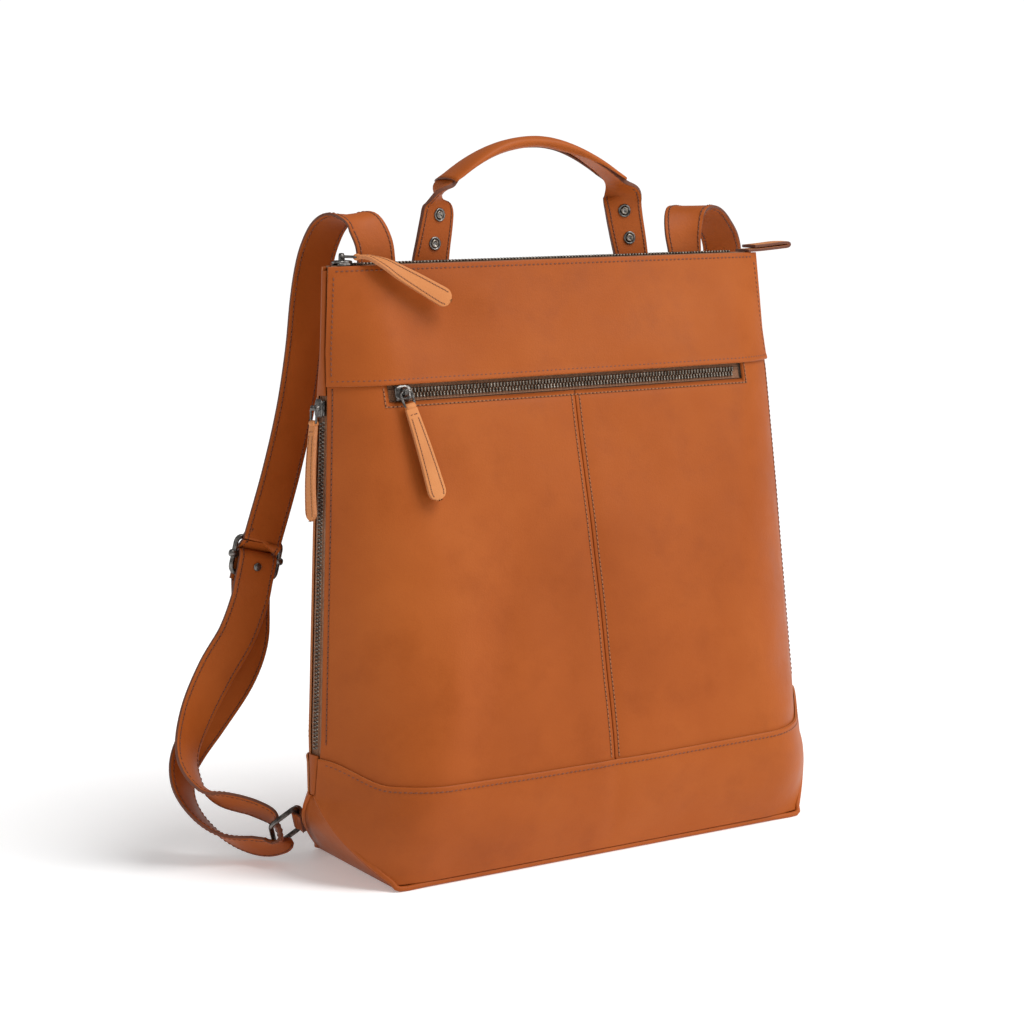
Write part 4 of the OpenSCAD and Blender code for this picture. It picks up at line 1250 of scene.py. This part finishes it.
RIGHT_UPPER_WIDE = [(1, 0, 0), (1, 0, 0), (1, 0, 0), (1, -0.2, 0), (0.9, -0.45, 0),
                    (0.75, -0.6, 0), (0.7, -0.65, 0), (0.7, -0.65, 0), (0.7, -0.65, 0),
                    (0.8, -0.5, 0), (0.9, -0.4, 0), (1, -0.3, 0), (1, 0, 0)]
RIGHT_LOWER = [(172, 96, 200), (173, 96, 180), (178, 95, 150), (190, 93, 121), (203, 90, 100),
               (213, 87, 83), (219, 84, 70), (222, 81, 55), (221, 77, 38), (217, 71, 24),
               (212, 63, 16.5), (208, 54, 13), (204, 43, 13), (200, 36, 17.5), (200, 39, 24),
               (202, 44, 32), (206, 50, 38), (210, 56, 42), (215, 63, 47), (217, 69, 54),
               (215, 74, 65), (209, 78, 78), (198, 82, 98), (183, 85, 128), (175, 85, 160)]
RIGHT_LOWER_WIDE = [(1, 0, 0.2), (1, 0, 0.2), (1, 0, 0.4), (1, 0, 0.6), (1, 0, 0.7),
                    (1, 0.1, 0.5), (1, 0.4, 0), (0.7, 0.7, -0.4), (0.3, 0.5, -0.9),
                    (-0.1, 0.1, -1), (-0.3, 0.5, -0.9), (-0.35, 0.6, -0.7),
                    (-0.39, 0.655, -0.64), (-0.39, 0.655, -0.64), (-0.39, 0.655, -0.64),
                    (-0.35, 0.6, -0.7), (-0.3, 0.4, -0.9), (-0.2, 0.1, -1), (0, 0, -1),
                    (0.3, 0, -0.9), (0.8, 0, -0.5), (1, 0, 0), (1, 0, 0.4), (1, 0, 0.5),
                    (1, 0, 0.4)]


def strap_route(label):
    """Points and width directions of one strap, from its sewn top to its riveted end."""
    if label == "left":
        by_bars = Vector((1, 0, -0.27))
        upper, lower, lower_wide = (vectors(t) for t in (LEFT_UPPER, LEFT_LOWER, LEFT_LOWER_WIDE))
        upper_wide = [by_bars if p.z < 300 else Vector((1, 0, 0)) for p in upper]
        # The lower stretch's table is written with its width directions the other way round
        lower_wide = [-w for w in lower_wide]
    else:
        by_bars = Vector((1, 0, 0))
        upper, upper_wide, lower, lower_wide = (
            vectors(t) for t in (RIGHT_UPPER, RIGHT_UPPER_WIDE, RIGHT_LOWER, RIGHT_LOWER_WIDE))
    points = upper + threaded(label) + lower + folded(label)
    wides = upper_wide + [by_bars] * 5 + lower_wide + [by_bars] * 7
    return spline(points, STRAP_STEPS), spline(wides, STRAP_STEPS)


STRAP_STEPS = 6
# Numbers of the route's own points where one moving stretch ends and the next begins: over
# the top, below the buckle, into the ring, out of the ring and at the loop's top
STAGES = {"left": (6, 17, 28, 33, 37), "right": (6, 17, 29, 34, 40)}


def strap_pieces(label):
    """Name, first and last route point, and the body of each stretch, or the two bodies and two
    points listed for it.
    """
    s = -1 if label == "left" else 1
    strap, ring, adjuster = f"{label}_strap", f"{label}_ring", f"{label}_adjuster"
    seam_top = (s * 124, 22, 405)
    over_top, buckle_end, ring_in, ring_out, loop_top_at = STAGES[label]
    shoulder = LEFT_UPPER[6] if label == "left" else RIGHT_UPPER[6]
    loop_foot, loop_top = (s * 208, 46, 36), ((s * 240, 66, 95) if s < 0 else (205, 82, 95))
    bar_side, bar = (s * 208, 49, 24), (s * 204, 40, 20)
    place = BUCKLES[label][0]
    return [
        ("top", 0, over_top, ("root", strap, seam_top, shoulder)),
        ("upper", over_top, buckle_end, strap),
        ("lower", buckle_end, ring_in, ("root", strap, loop_foot, loop_top)),
        ("ring_loop", ring_in, ring_out, ("root", ring, bar_side, bar)),
        ("return", ring_out, loop_top_at, ("root", strap, loop_foot, loop_top)),
        ("end", loop_top_at, None, (strap, adjuster, tuple(place - UP * 105),
                                    tuple(place - UP * 20))),
    ]


def make_strap(label):
    points, wides = strap_route(label)
    frames = frames_along(points, wides)
    section = strip_section(STRAP_W, STRAP_T)
    replaced = {"upper": [f"{label}_strap_upper"], "lower": [f"{label}_strap_lower"]}
    for part, first, last, motion in strap_pieces(label):
        end = None if last is None else last * STRAP_STEPS + 1
        here = frames[first * STRAP_STEPS:end]
        ride = {"body": motion} if isinstance(motion, str) else {"blend": motion}
        form = Form()
        sweep(form, here, section, 0, 1)
        build(f"{label}_strap_{part}_leather", form, [STRAP_LEATHER, EDGE_PAINT], "leather",
              replaces=replaced.get(part, []), **ride)
        form = Form()
        for s in (-1, 1):
            for face in (-1, 1):
                add_stitches(form, [(p + x * s * (STRAP_W / 2 - 2.8)
                                     + n * face * (STRAP_T / 2 + 0.08), n * face)
                                    for p, x, n, _ in here])
        build(f"{label}_strap_{part}_stitching", form, [THREAD, PAINTED_HOLE_SHADE], "thread", **ride)


BUCKLE_HALF_H = 12.3
# How far the rivet sits below the middle of the adjuster
RIVET_DROP = 6


def make_adjuster(label):
    place, turn = BUCKLES[label]
    turn = math.radians(turn)
    x = Vector((math.cos(turn), 0, -math.sin(turn)))
    z = Vector((math.sin(turn), 0, math.cos(turn)))
    half_width, half_height = (STRAP_W + 2 + WIRE_D) / 2, BUCKLE_HALF_H
    corners = [place + x * a * half_width + z * b * half_height
               for a, b in ((-1, -1), (1, -1), (1, 1), (-1, 1))]
    form = Form()
    tube(form, rounded_loop(corners, 5, 6), WIRE_D / 2, 14, closed=True)
    bar = [place + x * a for a in (-half_width - 2.6, half_width + 2.6)]
    tube(form, [bar[0], place, bar[1]], 1.3, 12)
    for s in (-1, 1):
        lathe(form, place + x * s * half_width, x * s,
              [(-2.6, 1.6), (-2.2, 2.5), (2.2, 2.5), (2.9, 2.1), (3.2, 1.2)], 18)
    build(f"{label}_buckle_wire", form, [GUNMETAL], "gunmetal", body=f"{label}_adjuster",
          replaces=[f"{label}_buckle"])
    form = Form()
    rivet = place - z * RIVET_DROP
    for face in (-1, 1):
        lathe(form, rivet + Vector((0, face * 5.4, 0)), Vector((0, face, 0)),
              [(-0.6, 2.7), (0.2, 2.9), (0.8, 2.5), (1.1, 1.5), (1.2, 0.5)], 20)
    tube(form, [rivet + Vector((0, y, 0)) for y in (-5.5, 0, 5.5)], 1.2, 12)
    build(f"{label}_rivet_turned", form, [GUNMETAL], "gunmetal", body=f"{label}_adjuster",
          replaces=[f"{label}_strap_rivet"])


def mirrored(v, label):
    return Vector((-v.x, v.y, v.z)) if label == "right" else Vector(v)


def make_ring(label):
    sewn, free = mirrored(RING_SEWN, label), mirrored(RING_FREE, label)
    along = mirrored(RING_ALONG, label)
    reach = free - sewn
    reach -= along * reach.dot(along)
    half = along * (STRAP_W / 2 + 1 + WIRE_D / 2)
    corners = [sewn - half, sewn + half, sewn + half + reach, sewn - half + reach]
    form = Form()
    tube(form, rounded_loop(corners, 4, 6), WIRE_D / 2, 14, closed=True)
    build(f"{label}_ring_wire", form, [GUNMETAL], "gunmetal", body=f"{label}_ring",
          replaces=[f"{label}_ring"])
    tail = mirrored(Vector((0.22, -0.75, -0.62)), label)
    down = (tail - along * tail.dot(along)).normalized()
    side = along.cross(down)
    radius = WIRE_D / 2 + 0.3 + LEATHER_T / 2
    path = []
    for i in range(13):
        a = math.radians(lerp(-60, 240, i / 12))
        path.append(sewn + side * radius * math.cos(a) - down * radius * math.sin(a))
    path = [path[0] + down * 4 - side * 0.8] + path + [path[-1] + down * 4 + side * 0.8]
    path = spline(path, 3)
    form = Form()
    sweep(form, frames_along(path, [along] * len(path)), strip_section(24, LEATHER_T, 0.6), 0, 1)
    build(f"{label}_ring_loop_leather", form, [STRAP_LEATHER, EDGE_PAINT], "leather",
          body="root", replaces=[f"{label}_ring_tab"])


# ---- Camera, floor and light ----

def make_camera():
    azimuth, elevation, roll = (math.radians(a) for a in (-30.8, 8.1, -0.9))
    distance, target, focal_px = 1.553, Vector((-0.037, 0, 0.2305)), 2280
    back = Vector((math.sin(azimuth) * math.cos(elevation),
                   -math.cos(azimuth) * math.cos(elevation), math.sin(elevation)))
    right = (-back).cross(UP).normalized()
    up = right.cross(-back)
    tilted = right * math.cos(roll) + up * math.sin(roll)
    up = up * math.cos(roll) - right * math.sin(roll)
    data = bpy.data.cameras.new("camera")
    data.sensor_width = 36
    data.lens = focal_px * 36 / 1024
    camera = bpy.data.objects.new("camera", data)
    rotation = Matrix((tilted, up, back)).transposed().to_4x4()
    camera.matrix_world = Matrix.Translation(target + back * distance) @ rotation
    bpy.context.scene.collection.objects.link(camera)
    bpy.context.scene.camera = camera


def make_floor():
    size = 14.0
    mesh = bpy.data.meshes.new("floor")
    mesh.from_pydata([(-size, -size, 0), (size, -size, 0), (size, size, 0), (-size, size, 0)],
                     [], [[0, 1, 2, 3]])
    material, nodes, links, shader, place = new_material("floor_white")
    speckle = texture(nodes, links, place, "Noise", 3, 2)
    colour = ramp(nodes, links, speckle.outputs["Fac"],
                  [(0.3, (0.96, 0.96, 0.96)), (0.7, (0.98, 0.98, 0.98))])
    links.new(colour, shader.inputs["Base Color"])
    shader.inputs["Roughness"].default_value = 0.6
    shader.inputs["Emission Color"].default_value = (1, 1, 1, 1)
    shader.inputs["Emission Strength"].default_value = 0.22
    mesh.materials.append(material)
    floor = bpy.data.objects.new("floor", mesh)
    bpy.context.scene.collection.objects.link(floor)


def add_light(name, kind, energy, place, aim, **settings):
    data = bpy.data.lights.new(name, kind)
    data.energy = energy
    for key, value in settings.items():
        setattr(data, key, value)
    light = bpy.data.objects.new(name, data)
    light.location = place
    light.rotation_euler = (Vector(aim) - Vector(place)).to_track_quat("-Z", "Y").to_euler()
    bpy.context.scene.collection.objects.link(light)


def make_light():
    world = bpy.data.worlds.new("studio")
    world.use_nodes = True
    nodes, links = world.node_tree.nodes, world.node_tree.links
    background = nodes["Background"]
    background.inputs["Color"].default_value = (1, 1, 1, 1)
    path = nodes.new("ShaderNodeLightPath")
    level = nodes.new("ShaderNodeMapRange")
    level.inputs["To Min"].default_value = 0.33
    level.inputs["To Max"].default_value = 1.05
    links.new(path.outputs["Is Camera Ray"], level.inputs["Value"])
    links.new(level.outputs["Result"], background.inputs["Strength"])
    bpy.context.scene.world = world
    bpy.context.scene.view_settings.view_transform = "Standard"
    centre = (0, 0, 0.2)
    add_light("overhead", "SUN", 2.3, (1.3, -1.5, 3.2), centre, angle=math.radians(35))
    add_light("key_softbox", "AREA", 17, (1.5, -1.7, 1.3), centre, shape="RECTANGLE", size=1.0,
              size_y=1.4)
    add_light("left_strip", "AREA", 7, (-2.2, -0.6, 1.0), centre, shape="RECTANGLE", size=0.4,
              size_y=1.6)


make_camera()
make_floor()
make_light()
make_shell()
make_base()
make_side_edges()
make_body_stitching()
make_top_zip()
make_front_zip()
make_side_zip()
make_end_tab()
make_handle()
for strap_label in ("left", "right"):
    make_strap(strap_label)
    make_adjuster(strap_label)
    make_ring(strap_label)
paint(["front_lining", "back_lining", "pocket_lining", "laptop_divider"], LINING)
paint(["base_board"], BOARD)
